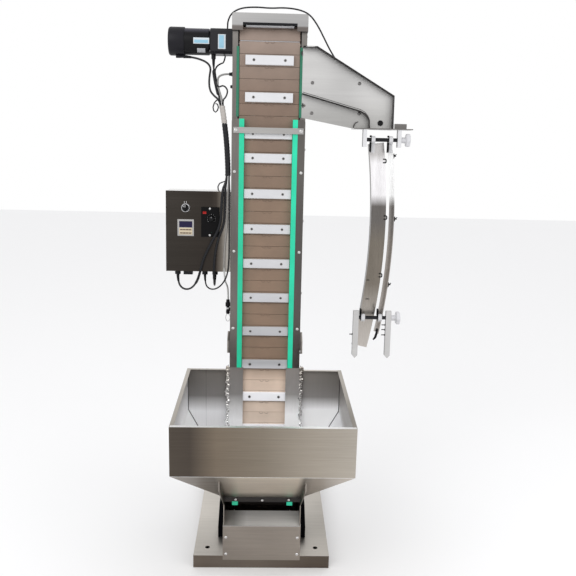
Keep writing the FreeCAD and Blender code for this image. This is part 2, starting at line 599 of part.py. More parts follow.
# Discharge chute: back plate, bent outer lip and the lower guide rib
def make_chute():
    face = "-(pitch_radius + slat_top_over_pin)"
    plate_front = "%s - chute_sheet" % face
    lip_front = "%s - chute_deep" % plate_front
    plate = prism("chute_plate", "XZ",
                  [[("chute_inner", "chute_top"), ("chute_inner", "chute_left_low"),
                    ("chute_step", "chute_low"), ("chute_right", "chute_low"),
                    ("chute_right", "chute_elbow"), ("chute_shoulder", "chute_top")]],
                  [(plate_front, face)], COLUMN)
    pocket(plate, "XZ", [("nozzle_right + 4", "nozzle_up", "nozzle_radius"),
                         ("sensor_right", "sensor_up", "sensor_radius")], plate_front, face)
    sheet_in = "chute_sheet"
    lip = [("chute_inner", "chute_top"), ("chute_shoulder", "chute_top"),
           ("chute_right", "chute_elbow"), ("chute_right", "chute_low"),
           ("chute_right - %s" % sheet_in, "chute_low"),
           ("chute_right - %s" % sheet_in, "chute_elbow - 1.1"),
           ("chute_shoulder - 0.5", "chute_top - %s" % sheet_in),
           ("chute_inner", "chute_top - %s" % sheet_in)]
    pad(plate, "XZ", [lip], lip_front, plate_front)
    rib = [("chute_inner", "rib_start"), ("rib_elbow_right", "rib_elbow_up"),
           ("rib_right", "rib_elbow_up - rib_turn"), ("rib_right", "rib_low"),
           ("rib_right - %s" % sheet_in, "rib_low"),
           ("rib_right - %s" % sheet_in, "rib_elbow_up - rib_turn - 0.8"),
           ("rib_elbow_right - 1", "rib_elbow_up - %s" % sheet_in),
           ("chute_inner", "rib_start - %s" % sheet_in)]
    body = prism("chute_rib", "XZ", [rib], [(lip_front, plate_front)], COLUMN)
    middle = size.rib_elbow_up
    round_edges(body, "14", lambda edge: along(edge, "y") and edge.CenterOfMass.x > 280
                and abs(edge.CenterOfMass.z - middle) < 32)
    barrel = regular("sensor_right", "sensor_up", "sensor_radius - 0.4", 12)
    sensor = prism("sensor", "XZ", [barrel],
                   [("%s - 4" % plate_front, "%s + sensor_long" % face)], COLUMN)
    pad(sensor, "XZ", [regular("sensor_right", "sensor_up", "sensor_radius + 4", 6)],
        face, "%s + 5" % face)
    shelf = prism("chute_shelf", "XZ", [rectangle("chute_step", "chute_low - shelf_thick",
                                                  "shelf_right", "chute_low")],
                  [("shelf_front", "shelf_back")], COLUMN)
    pocket(shelf, "XZ", [rectangle("shelf_hole_left", "chute_low - shelf_thick",
                                   "shelf_hole_right", "chute_low")], lip_front, plate_front)
    pad(shelf, "XZ", [rectangle("chute_right + 7", "chute_low", "chute_right + 46",
                                "chute_low + 17")], "%s - 12" % plate_front, face)


# Rail clamps: hanging blocks, two rods, the curved rails with their rings and fork arms
def make_rails():
    under = "chute_low - shelf_thick"
    blocks = prism("clamp_blocks", "XZ",
                   [rectangle("block_left", "block_low", "block_left + block_thick", under),
                    rectangle("block_right", "block_low", "block_right + block_thick", under)],
                   [("block_front", "block_back")], COLUMN)
    for left in ("block_left", "block_right"):
        pocket(blocks, "YZ", [regular("rod_v", "rod_up", "rod_radius", 8)], left,
               "%s + block_thick" % left)
    prism("rod_upper", "YZ", [("rod_v", "rod_up", "rod_radius")],
          [("block_left", "block_right + block_thick")], COLUMN)
    for name, bow, plate, low, high, flange_out in (
            ("left", "left_bow", "left_plate", size.left_low, size.left_high, False),
            ("right", "right_bow", "right_plate", size.right_low, size.right_high, True)):
        radius = float(sheet.get(bow))
        start = math.degrees(math.asin((low - size.bow_up) / radius))
        stop = math.degrees(math.asin((high - size.bow_up) / radius))
        frame = COLUMN.multiply(Placement(Vector(size.bow_left, 0, size.bow_up),
                                          Rotation(Vector(0, 1, 0), -stop)))
        rail = new_body("rail_" + name, frame)
        sketch = sketch_on(rail, "XY", "0")
        outer = "%s + %s" % (bow, plate)
        back = "rail_v"
        front = "rail_v - rail_sheet"
        deep = "rail_v - rail_deep"
        if flange_out:
            profile = [(bow, back), (outer, back), (outer, deep), ("%s - rail_sheet" % outer, deep),
                       ("%s - rail_sheet" % outer, front), (bow, front)]
        else:
            profile = [(bow, back), (outer, back), (outer, front), ("%s + rail_sheet" % bow, front),
                       ("%s + rail_sheet" % bow, deep), (bow, deep)]
        draw_outline(sketch, profile)
        bend = rail.newObject("PartDesign::Revolution", "rail_%s_bend" % name)
        bend.Profile = sketch
        bend.ReferenceAxis = (sketch, ["V_Axis"])
        bend.Angle = stop - start
        make_rings(name, bow, plate, flange_out)
    make_forks()


def rail_edge(bow, plate, flange_out, up):
    """X of a rail's flange at a height, from its bow."""
    radius = float(sheet.get(bow)) + (float(sheet.get(plate)) if flange_out else 0)
    return size.bow_left + math.sqrt(radius ** 2 - (up - size.bow_up) ** 2)


def eight_sided(centre, flat, long):
    """An eight-sided bar along X from its end's centre."""
    corner = flat / math.cos(math.pi / 8)
    corners = [centre + Vector(0, corner * math.cos(math.pi * (i + 0.5) / 4),
                               corner * math.sin(math.pi * (i + 0.5) / 4)) for i in range(9)]
    return Part.Face(Part.makePolygon(corners)).extrude(Vector(long, 0, 0))


def make_rings(name, bow, plate, flange_out):
    """Two split rings on the rods, each with a foot in the rail's trough."""
    rings = []
    rail_top = size.left_high
    plate_front = size.rail_v - size.rail_sheet
    for up, low, high in ((size.rod_up, size.rod_up - size.foot_drop, rail_top),
                          (size.low_rod_up, size.low_rod_up - size.ring_radius,
                           size.low_rod_up + size.ring_radius)):
        edges = [rail_edge(bow, plate, flange_out, place) for place in (low, high)]
        if flange_out:
            left = min(edges) - size.rail_sheet - size.ring_clear - size.ring_long
        else:
            left = max(edges) + size.rail_sheet + size.ring_clear
        ring = eight_sided(Vector(left, size.rod_v, up), size.ring_radius, size.ring_long)
        foot = Part.makeBox(size.ring_long, plate_front - size.rod_v, up - low,
                            Vector(left, size.rod_v, low))
        bore = eight_sided(Vector(left, size.rod_v, up), size.rod_radius + size.ring_play,
                           size.ring_long)
        rings.append(ring.fuse(foot).cut(bore).removeSplitter())
    group("rail_clamps_" + name, rings, COLUMN)


def make_forks():
    left = "fork_left"
    right = "fork_right + fork_wide"
    arm = [("0", "fork_low + fork_point"), ("fork_wide/2", "fork_low"),
           ("fork_wide", "fork_low + fork_point"), ("fork_wide", "fork_high"), ("0", "fork_high")]
    shapes = [[("%s + %s" % (place, u), v) for u, v in arm] for place in ("fork_left", "fork_right")]
    forks = prism("fork_arms", "XZ", shapes,
                  [("rod_v - fork_thick/2 - 2", "rod_v + fork_thick/2 + 2")], COLUMN)
    for place in ("fork_left", "fork_right"):
        pocket(forks, "YZ", [regular("rod_v", "low_rod_up", "rod_radius", 8)], place,
               "%s + fork_wide" % place)
    prism("rod_lower", "YZ", [("rod_v", "low_rod_up", "rod_radius")], [(left, right)], COLUMN)
    for name, place, up in (("upper", size.block_right + size.block_thick, size.rod_up),
                            ("lower", size.fork_right + size.fork_wide, size.low_rod_up)):
        frame = COLUMN.multiply(Placement(Vector(place + size.knob_clear, size.rod_v, up), Rotation()))
        knob = prism("knob_" + name, "YZ", [("0", "0", "knob_hub")], [("0", "knob_hub_long")], frame)
        pad(knob, "YZ", [regular("0", "0", "knob_radius", 12)], "knob_hub_long", "knob_long")


# Control box on the left of the column
def make_box():
    right = "-column_half"
    box = prism("control_box", "XZ", [rectangle("box_left", "box_low", right, "box_high")],
                [("box_front", "box_back")], COLUMN)
    pocket(box, "XZ", [rectangle("box_left + box_sheet", "box_low + box_sheet",
                                 "%s - box_sheet" % right, "box_high - box_sheet")],
           "box_front", "box_back - box_sheet")
    panel_face = "box_front - panel_sheet"
    prism("box_panel", "XZ", [rectangle("box_left", "box_low", "%s - 1" % right, "box_high")],
          [(panel_face, "box_front")], COLUMN)
    prism("counter", "XZ", [rectangle("counter_left", "counter_low", "counter_right", "counter_high")],
          [("%s - counter_proud" % panel_face, panel_face)], COLUMN)
    speed = prism("speed_unit", "XZ", [rectangle("speed_left", "speed_low", "speed_right",
                                                 "speed_high")],
                  [("%s - speed_proud" % panel_face, panel_face)], COLUMN)
    pocket(speed, "XZ", [rectangle("rocker_x - 6.3", "rocker_up - 4.6", "rocker_x + 6.3",
                                   "rocker_up + 4.6")],
           "%s - speed_proud" % panel_face, panel_face)
    prism("selector_bezel", "XZ", [regular("selector_x", "selector_up", "selector_radius", 16)],
          [("%s - 4" % panel_face, panel_face)], COLUMN)
    frame = COLUMN.multiply(Placement(Vector(size.selector_x, size.box_front - size.panel_sheet - 4.2,
                                             size.selector_up), Rotation()))
    selector = prism("selector_knob", "XZ", [("0", "0", "turn_pin")], [("-2", "0")], frame)
    pad(selector, "XZ", [regular("0", "0", "selector_grip", 12)], "-6", "-2")
    pad(selector, "XZ", [rectangle("-3", "-selector_grip + 1", "3", "selector_grip + 2")],
        "-13", "-5")
    frame = COLUMN.multiply(Placement(Vector(size.dial_x, size.box_front - size.panel_sheet
                                             - size.speed_proud - 0.2, size.dial_up), Rotation()))
    dial = prism("speed_knob", "XZ", [("0", "0", "turn_pin")], [("-1", "0")], frame)
    pad(dial, "XZ", [regular("0", "0", "dial_radius", 12)], "-dial_long", "-1")
    pocket(dial, "XZ", [rectangle("-0.6", "2", "0.6", "dial_radius + 1")], "-dial_long",
           "-dial_long + 1")
    frame = COLUMN.multiply(Placement(Vector(size.rocker_x, size.box_front - size.panel_sheet - 1.2,
                                             size.rocker_up), Rotation()))
    prism("rocker", "YZ", [[("0", "-3.7"), ("-3.9", "-3.9"), ("-3.2", "0"), ("-5.2", "3.9"),
                            ("0", "3.7")]], [("-5.8", "5.8")], frame)
    glands = [regular(x, "gland_v", "gland_radius", 6) for x in ("-297", "-206", "-172")]
    fittings = prism("box_glands", "XY", glands, [("box_low - gland_long", "box_low")], COLUMN)
    pad(fittings, "XY", [rectangle("socket_left", "gland_v - 12", "socket_right", "gland_v + 12")],
        "box_low - socket_tall", "box_low")


def make_air():
    air = prism("air_fittings", "YZ", [regular("fitting_v", "fitting_up", "6", 6)],
                [("-column_half - fitting_long", "-column_half")], COLUMN)
    pad(air, "YZ", [regular("fitting_v", "fitting_up - 39", "5", 6)], "-column_half - 8",
        "-column_half")
    pad(air, "YZ", [regular("valve_v", "valve_low + 16", "valve_radius", 6)], "valve_x",
        "-column_half")
    pad(air, "XY", [regular("valve_x", "valve_v", "valve_radius", 8)], "valve_low", "valve_high")
    pad(air, "XY", [regular("valve_x", "valve_v", "valve_radius + 2", 8)], "valve_low + 26",
        "valve_high - 10")


def tube_along(label, points, thick):
    """A four-sided lead of straight runs joined by tangent arcs, as large as the runs allow."""
    places = [Vector(*point) for point in points]
    edges = []
    radii = []
    start = places[0]
    for before, corner, after in zip(places, places[1:], places[2:]):
        into = (corner - before).normalize()
        out = (after - corner).normalize()
        half = into.getAngle(out) / 2
        back_off = 0.45 * min(corner.distanceToPoint(before), corner.distanceToPoint(after))
        radii.append(back_off / math.tan(half))
        first = corner - into * back_off
        last = corner + out * back_off
        inward = (out - into).normalize()
        middle = corner + inward * (radii[-1] / math.cos(half) - radii[-1])
        edges.append(Part.LineSegment(start, first).toShape())
        edges.append(Part.Arc(first, middle, last).toShape())
        start = last
    edges.append(Part.LineSegment(start, places[-1]).toShape())
    path = Part.Wire(edges)
    ahead = (places[1] - places[0]).normalize()
    side = ahead.cross(Vector(0, 1, 0) if abs(ahead.y) < 0.9 else Vector(1, 0, 0)).normalize()
    corner = thick * 0.6
    corners = [places[0] + side * (corner * math.cos(math.pi * i / 2))
               + ahead.cross(side) * (corner * math.sin(math.pi * i / 2)) for i in range(5)]
    tube = path.makePipeShell([Part.makePolygon(corners)], True, False)
    ideal = path.Length * 2 * corner ** 2
    print(label, "long %.0f, tightest bend %.1f, volume ratio %.5f"
          % (path.Length, min(radii), tube.Volume / ideal))
    if abs(tube.Volume / ideal - 1) > 0.002:
        raise RuntimeError("%s is not a clean tube" % label)
    group(label, [tube], COLUMN)


# Where the leads run side by side in their sleeve, down the left edge of the column
BUNDLE = [(-152, -74, 1378), (-143, -73, 1325), (-134, -72.6, 1255), (-129.5, -72.4, 1185),
          (-128, -73, 1132)]
LANE = 3.6


def lane(side, depth, order=1):
    return [(x + side * LANE, v + depth * LANE, w) for x, v, w in BUNDLE][::order]


def make_leads():
    tube_along("motor_lead", [(-277.5, -12, 1517), (-243, -12, 1517), (-186, -27, 1494),
                              (-193, -46, 1446), (-190, -57, 1411), (-176, -68, 1393)]
               + lane(-1, -1) +
               [(-145, -88, 1098), (-148, -88.5, 1035), (-152, -88, 978), (-180, -88.5, 926),
                (-206, -88, 872), (-216, -86, 830), (-228, -74, 792), (-251, -54, 764),
                (-279, -33, 760), (-297, size.gland_v, 780),
                (-297, size.gland_v, size.box_low - size.gland_long)], size.motor_lead_thick)
    gearbox_exit = size.gearbox_low - size.lead_gland_long
    lead_x = size.gearbox_lead_x
    lead_v = size.gearbox_lead_v
    tube_along("gearbox_lead", [(lead_x, lead_v, gearbox_exit), (lead_x, lead_v, gearbox_exit - 28),
                                (-176, -24, 1452), (-168, -44, 1420)] + lane(-1, 1) +
               [(-136, -82, 1098), (-137.5, -84, 1040), (-139, -84.5, 985), (-158, -86, 940),
                (-169, -86.5, 885), (-172, -85, 830), (-172, -68, 790), (-172, -42, 774),
                (-172, size.gland_v, 784),
                (-172, size.gland_v, size.box_low - size.gland_long)], size.gearbox_lead_thick)
    fitting_x = -size.column_half - size.fitting_long
    tube_along("air_tube", [(fitting_x, size.fitting_v, size.fitting_up),
                            (fitting_x - 34, size.fitting_v, size.fitting_up),
                            (-166, -46, 1429), (-157, -59, 1403)] + lane(1, 1) +
               [(-127.5, -82, 1098), (-129, -83, 1040), (-130, -82, 985), (-136, -82.5, 925),
                (-139, -82, 875), (-138, -82.3, 826), (-135, -64, 790), (-130, -38, 776),
                (size.valve_x, size.valve_v, 755),
                (size.valve_x, size.valve_v, size.valve_high)], size.air_tube_thick)
    sensor_back = -size.pitch_radius - size.slat_top_over_pin + size.sensor_long
    sensor_x = size.sensor_right
    tube_along("sensor_lead", [(sensor_x, sensor_back, size.sensor_up),
                               (sensor_x, sensor_back + 32, size.sensor_up), (350, 32, 1348),
                               (326, 34, 1390), (290, 16, 1434), (252, -10, 1474),
                               (218, -36, 1508), (190, -54, 1545), (170, -60, 1580),
                               (150, -60, 1616), (124, -56, 1650), (90, -52, 1664),
                               (44, -49, 1669), (0, -47, 1666), (-45, -47, 1669),
                               (-92, -48, 1665), (-122, -45, 1650), (-135, -30, 1628),
                               (-137, -4, 1611), (-139, 24, 1612), (-141, 43, 1594),
                               (-143, 46, 1560), (-146, 42, 1526), (-151, 22, 1504),
                               (-157, -2, 1500), (-172, -24, 1487), (-176, -42, 1462),
                               (-172, -57, 1437), (-161, -68, 1418), (-145, -75, 1426),
                               (-130, -77, 1411), (-136, -77, 1389)]
               + lane(1, -1) +
               [(-121.8, -87, 1098), (-122, -88, 1040), (-122.5, -87, 985), (-122, -86, 925),
                (-122.5, -86.5, 866), (-127, -87, 818), (-144, -80, 786), (-167, -60, 766),
                (-190, -36, 762), (-206, size.gland_v, 776),
                (-206, size.gland_v, size.box_low - size.gland_long)], size.sensor_lead_thick)


sheet.set("D1", "pitch radius and head height, worked out")
sheet.set("E1", "=chain_pitch / (2 * sin(90 deg / wrap_slats))")
sheet.setAlias("E1", "pitch_radius")
sheet.set("E2", "=chain_pitch * straight_slats")
sheet.setAlias("E2", "head_up")
doc.recompute()
SIZES.update(pitch_radius=0, head_up=0)

make_base()
make_boot()
make_hopper()
make_column()
make_column_front()
make_header()
make_chain()
make_drive("head", size.head_up, "-column_half - 42", "column_half - column_sheet")
make_drive("tail", 0, "-column_half + column_sheet", "column_half - column_sheet")
make_bearings()
make_motor()
make_chute()
make_rails()
make_box()
make_air()
make_leads()
doc.recompute()


def check_and_write():
    """Stop on anything that failed to build, then write one file for each sub-part."""
    for item in doc.Objects:
        if "Invalid" in item.State or "Error" in item.State:
            raise RuntimeError("%s is %s" % (item.Label, item.State))
    for body, feature in CUTS:
        removed = feature.BaseFeature.Shape.Volume - feature.Shape.Volume
        if removed <= 0.01:
            raise RuntimeError("%s of %s cuts nothing" % (feature.Label, body.Label))
    os.makedirs("parts", exist_ok=True)
    for label, item in NODES.items():
        shape = item.Shape
        if shape.isNull() or not shape.isValid():
            raise RuntimeError("%s has no valid shape" % label)
        shape.exportStep("parts/%s.step" % label)
    print(len(NODES), "nodes written")


check_and_write()
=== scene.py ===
import json
import math
import random
import bmesh
import bpy
from mathutils import Matrix, Vector


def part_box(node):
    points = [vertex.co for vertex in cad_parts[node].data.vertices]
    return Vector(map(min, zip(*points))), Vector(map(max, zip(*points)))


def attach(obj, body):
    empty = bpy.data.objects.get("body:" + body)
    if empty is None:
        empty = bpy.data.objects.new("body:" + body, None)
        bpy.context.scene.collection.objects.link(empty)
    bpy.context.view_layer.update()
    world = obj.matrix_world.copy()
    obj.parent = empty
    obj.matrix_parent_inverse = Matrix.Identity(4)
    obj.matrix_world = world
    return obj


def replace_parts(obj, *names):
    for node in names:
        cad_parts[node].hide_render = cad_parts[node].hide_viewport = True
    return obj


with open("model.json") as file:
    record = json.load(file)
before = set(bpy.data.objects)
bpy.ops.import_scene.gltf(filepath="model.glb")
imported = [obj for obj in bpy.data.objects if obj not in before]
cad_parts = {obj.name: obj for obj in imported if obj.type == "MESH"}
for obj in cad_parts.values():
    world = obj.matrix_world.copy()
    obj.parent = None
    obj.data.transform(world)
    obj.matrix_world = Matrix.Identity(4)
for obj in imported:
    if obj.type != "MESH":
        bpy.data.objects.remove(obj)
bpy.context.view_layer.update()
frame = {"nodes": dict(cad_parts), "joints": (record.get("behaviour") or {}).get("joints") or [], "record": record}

# Places. The slat chain runs up from the tail shaft to the head shaft, and most pieces are
# given by x (right), v (back from the pin line's middle) and w (up the chain), in millimetres.
MM = 0.001
joints = {joint["name"]: joint for joint in frame["joints"]}
mounts = {mount["name"]: mount for mount in frame["record"]["mounts"]}
TAIL = Vector(joints["tail_spin"]["pos_m"])
HEAD = Vector(joints["head_spin"]["pos_m"])
UP = (HEAD - TAIL).normalized()
BACK = Vector((0, UP.z, -UP.y))
FRONT = -BACK
ACROSS = Vector((1, 0, 0))
LONG = (HEAD - TAIL).length / MM
PAN = Vector(mounts["anchor_holes"]["pos_m"])
PAN.z = 0


def column(x, v, w):
    """A place on the leaning column."""
    return TAIL + ACROSS * x * MM + BACK * v * MM + UP * w * MM


def placed(place):
    """A point as it is, or the column's place for an (x, v, w)."""
    return column(*place) if isinstance(place, tuple) else place


def floor(x, y, z):
    """A place from the middle of the base pan, on the floor."""
    return PAN + Vector((x, y, z)) * MM


def local(point):
    """x, v and w of a point in metres."""
    gap = point - TAIL
    return gap.x / MM, gap.dot(BACK) / MM, gap.dot(UP) / MM


def new_object(name, data):
    """An object with its data, put into the scene."""
    piece = bpy.data.objects.new(name, data)
    bpy.context.scene.collection.objects.link(piece)
    return piece


# Camera, fitted to the photograph: it looks slightly down, from head height
PHOTO_SIDE = 576
FOCAL_PIXELS = 747.92
CAMERA_PLACE = (-1.91, -2556.52, 1497.83)
CAMERA_YAW = 1.79
CAMERA_PITCH = 13.05
CAMERA_ROLL = 1.37


def aim(yaw, pitch, roll):
    a, b, c = (math.radians(angle) for angle in (yaw, pitch, roll))
    ahead = Vector((math.sin(a) * math.cos(b), math.cos(a) * math.cos(b), -math.sin(b)))
    right = Vector((math.cos(a), -math.sin(a), 0))
    top = right.cross(ahead)
    turned_right = math.cos(c) * right + math.sin(c) * top
    turned_top = -math.sin(c) * right + math.cos(c) * top
    return Matrix((turned_right, turned_top, -ahead)).transposed()


camera_data = bpy.data.cameras.new("photo_camera")
camera_data.sensor_width = 36
camera_data.lens = FOCAL_PIXELS / PHOTO_SIDE * camera_data.sensor_width
camera_data.clip_end = 100
camera = new_object("photo_camera", camera_data)
camera.matrix_world = (Matrix.Translation(floor(*CAMERA_PLACE))
                       @ aim(CAMERA_YAW, CAMERA_PITCH, CAMERA_ROLL).to_4x4())
bpy.context.scene.camera = camera
bpy.context.scene.view_settings.view_transform = "Standard"


# Materials
class Nodes:
    """A material and a short way to add nodes to it."""

    def __init__(self, name):
        self.material = bpy.data.materials.new(name)
        self.material.use_nodes = True
        self.tree = self.material.node_tree
        self.shader = self.tree.nodes["Principled BSDF"]
        self.place = self.add("ShaderNodeTexCoord").outputs["Object"]

    def add(self, kind, **inputs):
        node = self.tree.nodes.new(kind)
        for name, value in inputs.items():
            self.feed(node.inputs[name.replace("_", " ")], value)
        return node

    def feed(self, socket, value):
        if isinstance(value, bpy.types.NodeSocket):
            self.tree.links.new(value, socket)
        else:
            socket.default_value = value

    def noise(self, scale, stretch, detail, rough):
        """Noise with so many bumps per metre, longer along an axis with a small stretch."""
        place = self.add("ShaderNodeMapping", Vector=self.place, Scale=stretch).outputs[0]
        return self.add("ShaderNodeTexNoise", Vector=place, Scale=scale, Detail=detail,
                        Roughness=rough).outputs["Fac"]

    def ramp(self, value, low, high, start, stop, smooth=True):
        """Carry a value from one range to another, held at the ends."""
        node = self.add("ShaderNodeMapRange")
        node.interpolation_type = "SMOOTHSTEP" if smooth else "LINEAR"
        self.feed(node.inputs["Value"], value)
        for name, number in zip(("From Min", "From Max", "To Min", "To Max"),
                                (low, high, start, stop)):
            node.inputs[name].default_value = number
        return node.outputs["Result"]

    def math(self, kind, a, b):
        node = self.add("ShaderNodeMath")
        node.operation = kind
        self.feed(node.inputs[0], a)
        self.feed(node.inputs[1], b)
        return node.outputs[0]

    def mix(self, kind, factor, a, b):
        """Two colours mixed or multiplied."""
        node = self.add("ShaderNodeMix")
        node.data_type = "RGBA"
        node.blend_type = kind
        for index, value in ((0, factor), (6, a), (7, b)):
            self.feed(node.inputs[index], (*value, 1) if isinstance(value, tuple) else value)
        return node.outputs[2]

    def painted(self, look):
        """A tone, or tones along an axis as (axis, from, to, marks of a share and a tone)."""
        if not isinstance(look[0], str):
            return tone(*look)
        which, low, high, marks = look
        share = self.ramp(self.axis(which), low, high, 0, 1, False)
        node = self.add("ShaderNodeValToRGB", Fac=share)
        stops = node.color_ramp.elements
        while len(stops) < len(marks):
            stops.new(1.0)
        for stop, (place, *colour) in zip(stops, marks):
            stop.position = place
            stop.color = (*tone(*colour), 1)
        return node.outputs["Color"]

    def axis(self, name):
        """X, Y or Z of the place, in metres."""
        return self.add("ShaderNodeSeparateXYZ", Vector=self.place).outputs[name]

    def normal(self, name):
        """X, Y or Z of the way that a face looks, or OUT: away from the machine's middle."""
        facing_way = self.add("ShaderNodeNewGeometry").outputs["Normal"]
        split = self.add("ShaderNodeSeparateXYZ", Vector=facing_way)
        if name != "OUT":
            return split.outputs[name]
        side = self.ramp(self.axis("X"), TAIL.x - MM, TAIL.x + MM, -1, 1)
        return self.math("MULTIPLY", split.outputs["X"], side)

    def bump(self, height, distance, strength):
        node = self.add("ShaderNodeBump", Height=height, Distance=distance, Strength=strength)
        self.feed(self.shader.inputs["Normal"], node.outputs[0])

    def set(self, **inputs):
        for name, value in inputs.items():
            self.feed(self.shader.inputs[name.replace("_", " ")], value)
        return self.material


def tone(*channels):
    """The colour of a tone, which is given in 0 to 255 steps, as it looks on a screen."""
    return tuple(((c / 255 + 0.055) / 1.055) ** 2.4 for c in channels)


# Share of a plastic's own tone that leaves it as bright as it looks under this light
GIVEN_BACK = 0.74
GRAIN_X = (0.012, 1, 1)
GRAIN_Y = (1, 0.012, 1)
GRAIN_Z = (1, 1, 0.012)
EVEN = (1, 1, 1)
# Bumps per metre: brushed lines, broader lines, clouds, and the slow drift of a plastic
FINE_LINES = 700
BROAD_LINES = 90
CLOUDS = 2.6
DRIFT = 14
SCUFFS = 160
# Noise lies mostly between these two
MOSTLY = (0.3, 0.7)


def steel(name, look, grain=GRAIN_X, rough=0.34, streak=0.09, cloud=0.14, patches=(), faces=(),
          metal=1.0, inner_metal=None):
    """Brushed stainless sheet: fine streaks along the grain and slow clouds. A look is a colour
    or colours along an axis. Patches are soft darker or lighter places of painted shade and light,
    and faces give another look, of painted light or shade, to what faces one way; inner_metal is
    how metallic the first of them is."""
    n = Nodes(name)
    lines = n.noise(FINE_LINES, grain, 4, 0.7)
    wide = n.noise(BROAD_LINES, grain, 2, 0.5)
    slow = n.noise(CLOUDS, EVEN, 2, 0.5)
    level = n.math("ADD", n.ramp(lines, *MOSTLY, 1 - streak, 1 + streak, False),
                   n.ramp(wide, *MOSTLY, -streak / 2, streak / 2, False))
    level = n.math("ADD", level, n.ramp(slow, *MOSTLY, -cloud, cloud))
    for which, low, high, start, stop in patches:
        level = n.math("MULTIPLY", level, n.ramp(n.axis(which), low, high, start, stop))
    colour = n.painted(look)
    for i, (which, low, high, other) in enumerate(faces):
        side = n.ramp(n.normal(which), low, high, 0, 1)
        colour = n.mix("MIX", side, colour, n.painted(other))
        if i == 0 and inner_metal is not None:
            metal = n.ramp(n.normal(which), low, high, metal, inner_metal)
    n.bump(lines, 0.00002, 0.35)
    shown = n.mix("MULTIPLY", 1.0, colour, level)
    shown.node.clamp_result = True
    return n.set(Base_Color=shown, Metallic=metal,
                 Roughness=n.ramp(wide, *MOSTLY, rough - 0.05, rough + 0.06, False))


def plastic(name, look, rough=0.45, mottle=0.05, grain_size=1800, bump=0.00003, scuff=0.0,
            gloss=0.5, faces=()):
    """Moulded or machined plastic with a fine surface and slight colour drift."""
    n = Nodes(name)
    fine = n.noise(grain_size, EVEN, 3, 0.6)
    slow = n.noise(DRIFT, EVEN, 3, 0.5)
    level = n.ramp(slow, *MOSTLY, GIVEN_BACK - mottle, GIVEN_BACK + mottle)
    if scuff:
        marks = n.noise(SCUFFS, (0.06, 1, 1), 4, 0.75)
        level = n.math("ADD", level, n.ramp(marks, 0.55, 0.75, 0, scuff))
    n.bump(fine, bump, 0.5)
    n.set(Specular_IOR_Level=gloss)
    colour = n.painted(look)
    for which, low, high, other in faces:
        colour = n.mix("MIX", n.ramp(n.normal(which), low, high, 0, 1), colour, n.painted(other))
    return n.set(Base_Color=n.mix("MULTIPLY", 1.0, colour, level),
                 Roughness=n.ramp(slow, *MOSTLY, rough - 0.05, rough + 0.07))


# Stretches that colours run along, in metres, and ways that a face can look: an axis, where
# the other look starts, and where it is full
PAN_WIDTH = ("X", -0.292, 0.166)
INSIDE = ("Z", 0.40, 0.655)
CHAIN = ("Z", 0.20, 1.75)
RAIL = ("Z", 0.749, 1.411)
UPWARD = ("Z", 0.3, 0.7)
TOP_SIDE = ("Z", 0.5, 0.8)
RIM = ("Z", 0.85, 0.97)
FORWARD = ("Y", -0.3, -0.7)
REARWARD = ("Y", 0.3, 0.7)
LEFT_END = ("X", -0.5, -0.9)


def span(node, axis):
    """An axis with a node's own low end and high end on it."""
    low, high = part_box(node)
    which = "XYZ".index(axis)
    return axis, low[which], high[which]


def banded(stretch, *marks):
    """Tones along a stretch: each mark is a share of the way and a tone."""
    return (*stretch, marks)


def rail_look(foot, above, low, dark, pale, head):
    """Painted reflections and shade up a curved rail, from its foot to its head."""
    return banded(RAIL, (0, *foot), (0.20, *above), (0.31, *low), (0.52, *low), (0.63, *dark),
                  (0.70, *dark), (0.755, *pale), (0.91, *pale), (0.95, *head), (1, *head))


# Painted shade and light on the base pan: its front darker towards the right, its top faces lighter
PAN_EDGE = banded(PAN_WIDTH, (0, 116, 106, 97), (0.5, 112, 103, 95), (0.85, 93, 84, 76),
    (1, 90, 81, 73))
PAN_TOP = banded(PAN_WIDTH, (0, 192, 187, 180), (1, 177, 172, 165))
# Painted shade on the boot cover's top faces: darker at the left, under the hopper
COVER_TOP = banded(("X", -0.193, 0.067), (0, 140, 134, 127), (0.14, 150, 146, 142),
    (0.3, 214, 211, 207), (1, 216, 213, 209))
# Painted shade and light across the hopper's front: dark at the left, lighter towards the right
FRONT_LOOK = banded(span("hopper_front", "X"), (0, 80, 73, 66), (0.11, 76, 69, 63),
    (0.25, 117, 106, 93), (0.5, 127, 118, 106), (0.8, 156, 148, 137), (1, 170, 163, 153))
# Painted light and shade inside the hopper: the inner faces of its back and sides bright low down and darker
# towards the rim
INSIDE_BACK = banded(INSIDE, (0, 244, 243, 244), (0.40, 246, 246, 248), (0.47, 214, 213, 214),
    (0.62, 124, 121, 119), (0.82, 112, 108, 104), (1, 108, 103, 97))
INSIDE_LEFT = banded(INSIDE, (0, 250, 250, 252), (0.50, 248, 248, 250), (0.66, 226, 225, 226),
    (1, 150, 146, 142))
INSIDE_RIGHT = banded(INSIDE, (0, 246, 246, 248), (0.40, 226, 226, 228), (0.55, 166, 163, 160),
    (1, 136, 131, 126))
# Painted shade and reflection on the hopper's front slope: dark bands at the two sides of the throat, a bright
# middle
SLOPE_LOOK = banded(("X", -0.322, 0.195), (0, 122, 110, 97), (0.12, 106, 92, 78), (0.235, 92, 81, 70),
    (0.29, 190, 179, 165), (0.36, 246, 234, 217), (0.70, 238, 226, 209), (0.735, 128, 119, 109),
    (0.78, 164, 153, 141), (1, 182, 171, 158))
# Painted light and shade on the belt guards and their weld beads: bright low down in the hopper, darker towards
# the top
GUARD_LOOK = banded(span("belt_guards", "Z"), (0, 248, 248, 248), (0.60, 250, 250, 251),
    (0.70, 214, 213, 213), (0.80, 134, 131, 129), (1, 120, 115, 111))
WELD_LOOK = banded(span("belt_guards", "Z"), (0, 235, 235, 236), (0.6, 240, 240, 240),
    (1, 165, 158, 150))
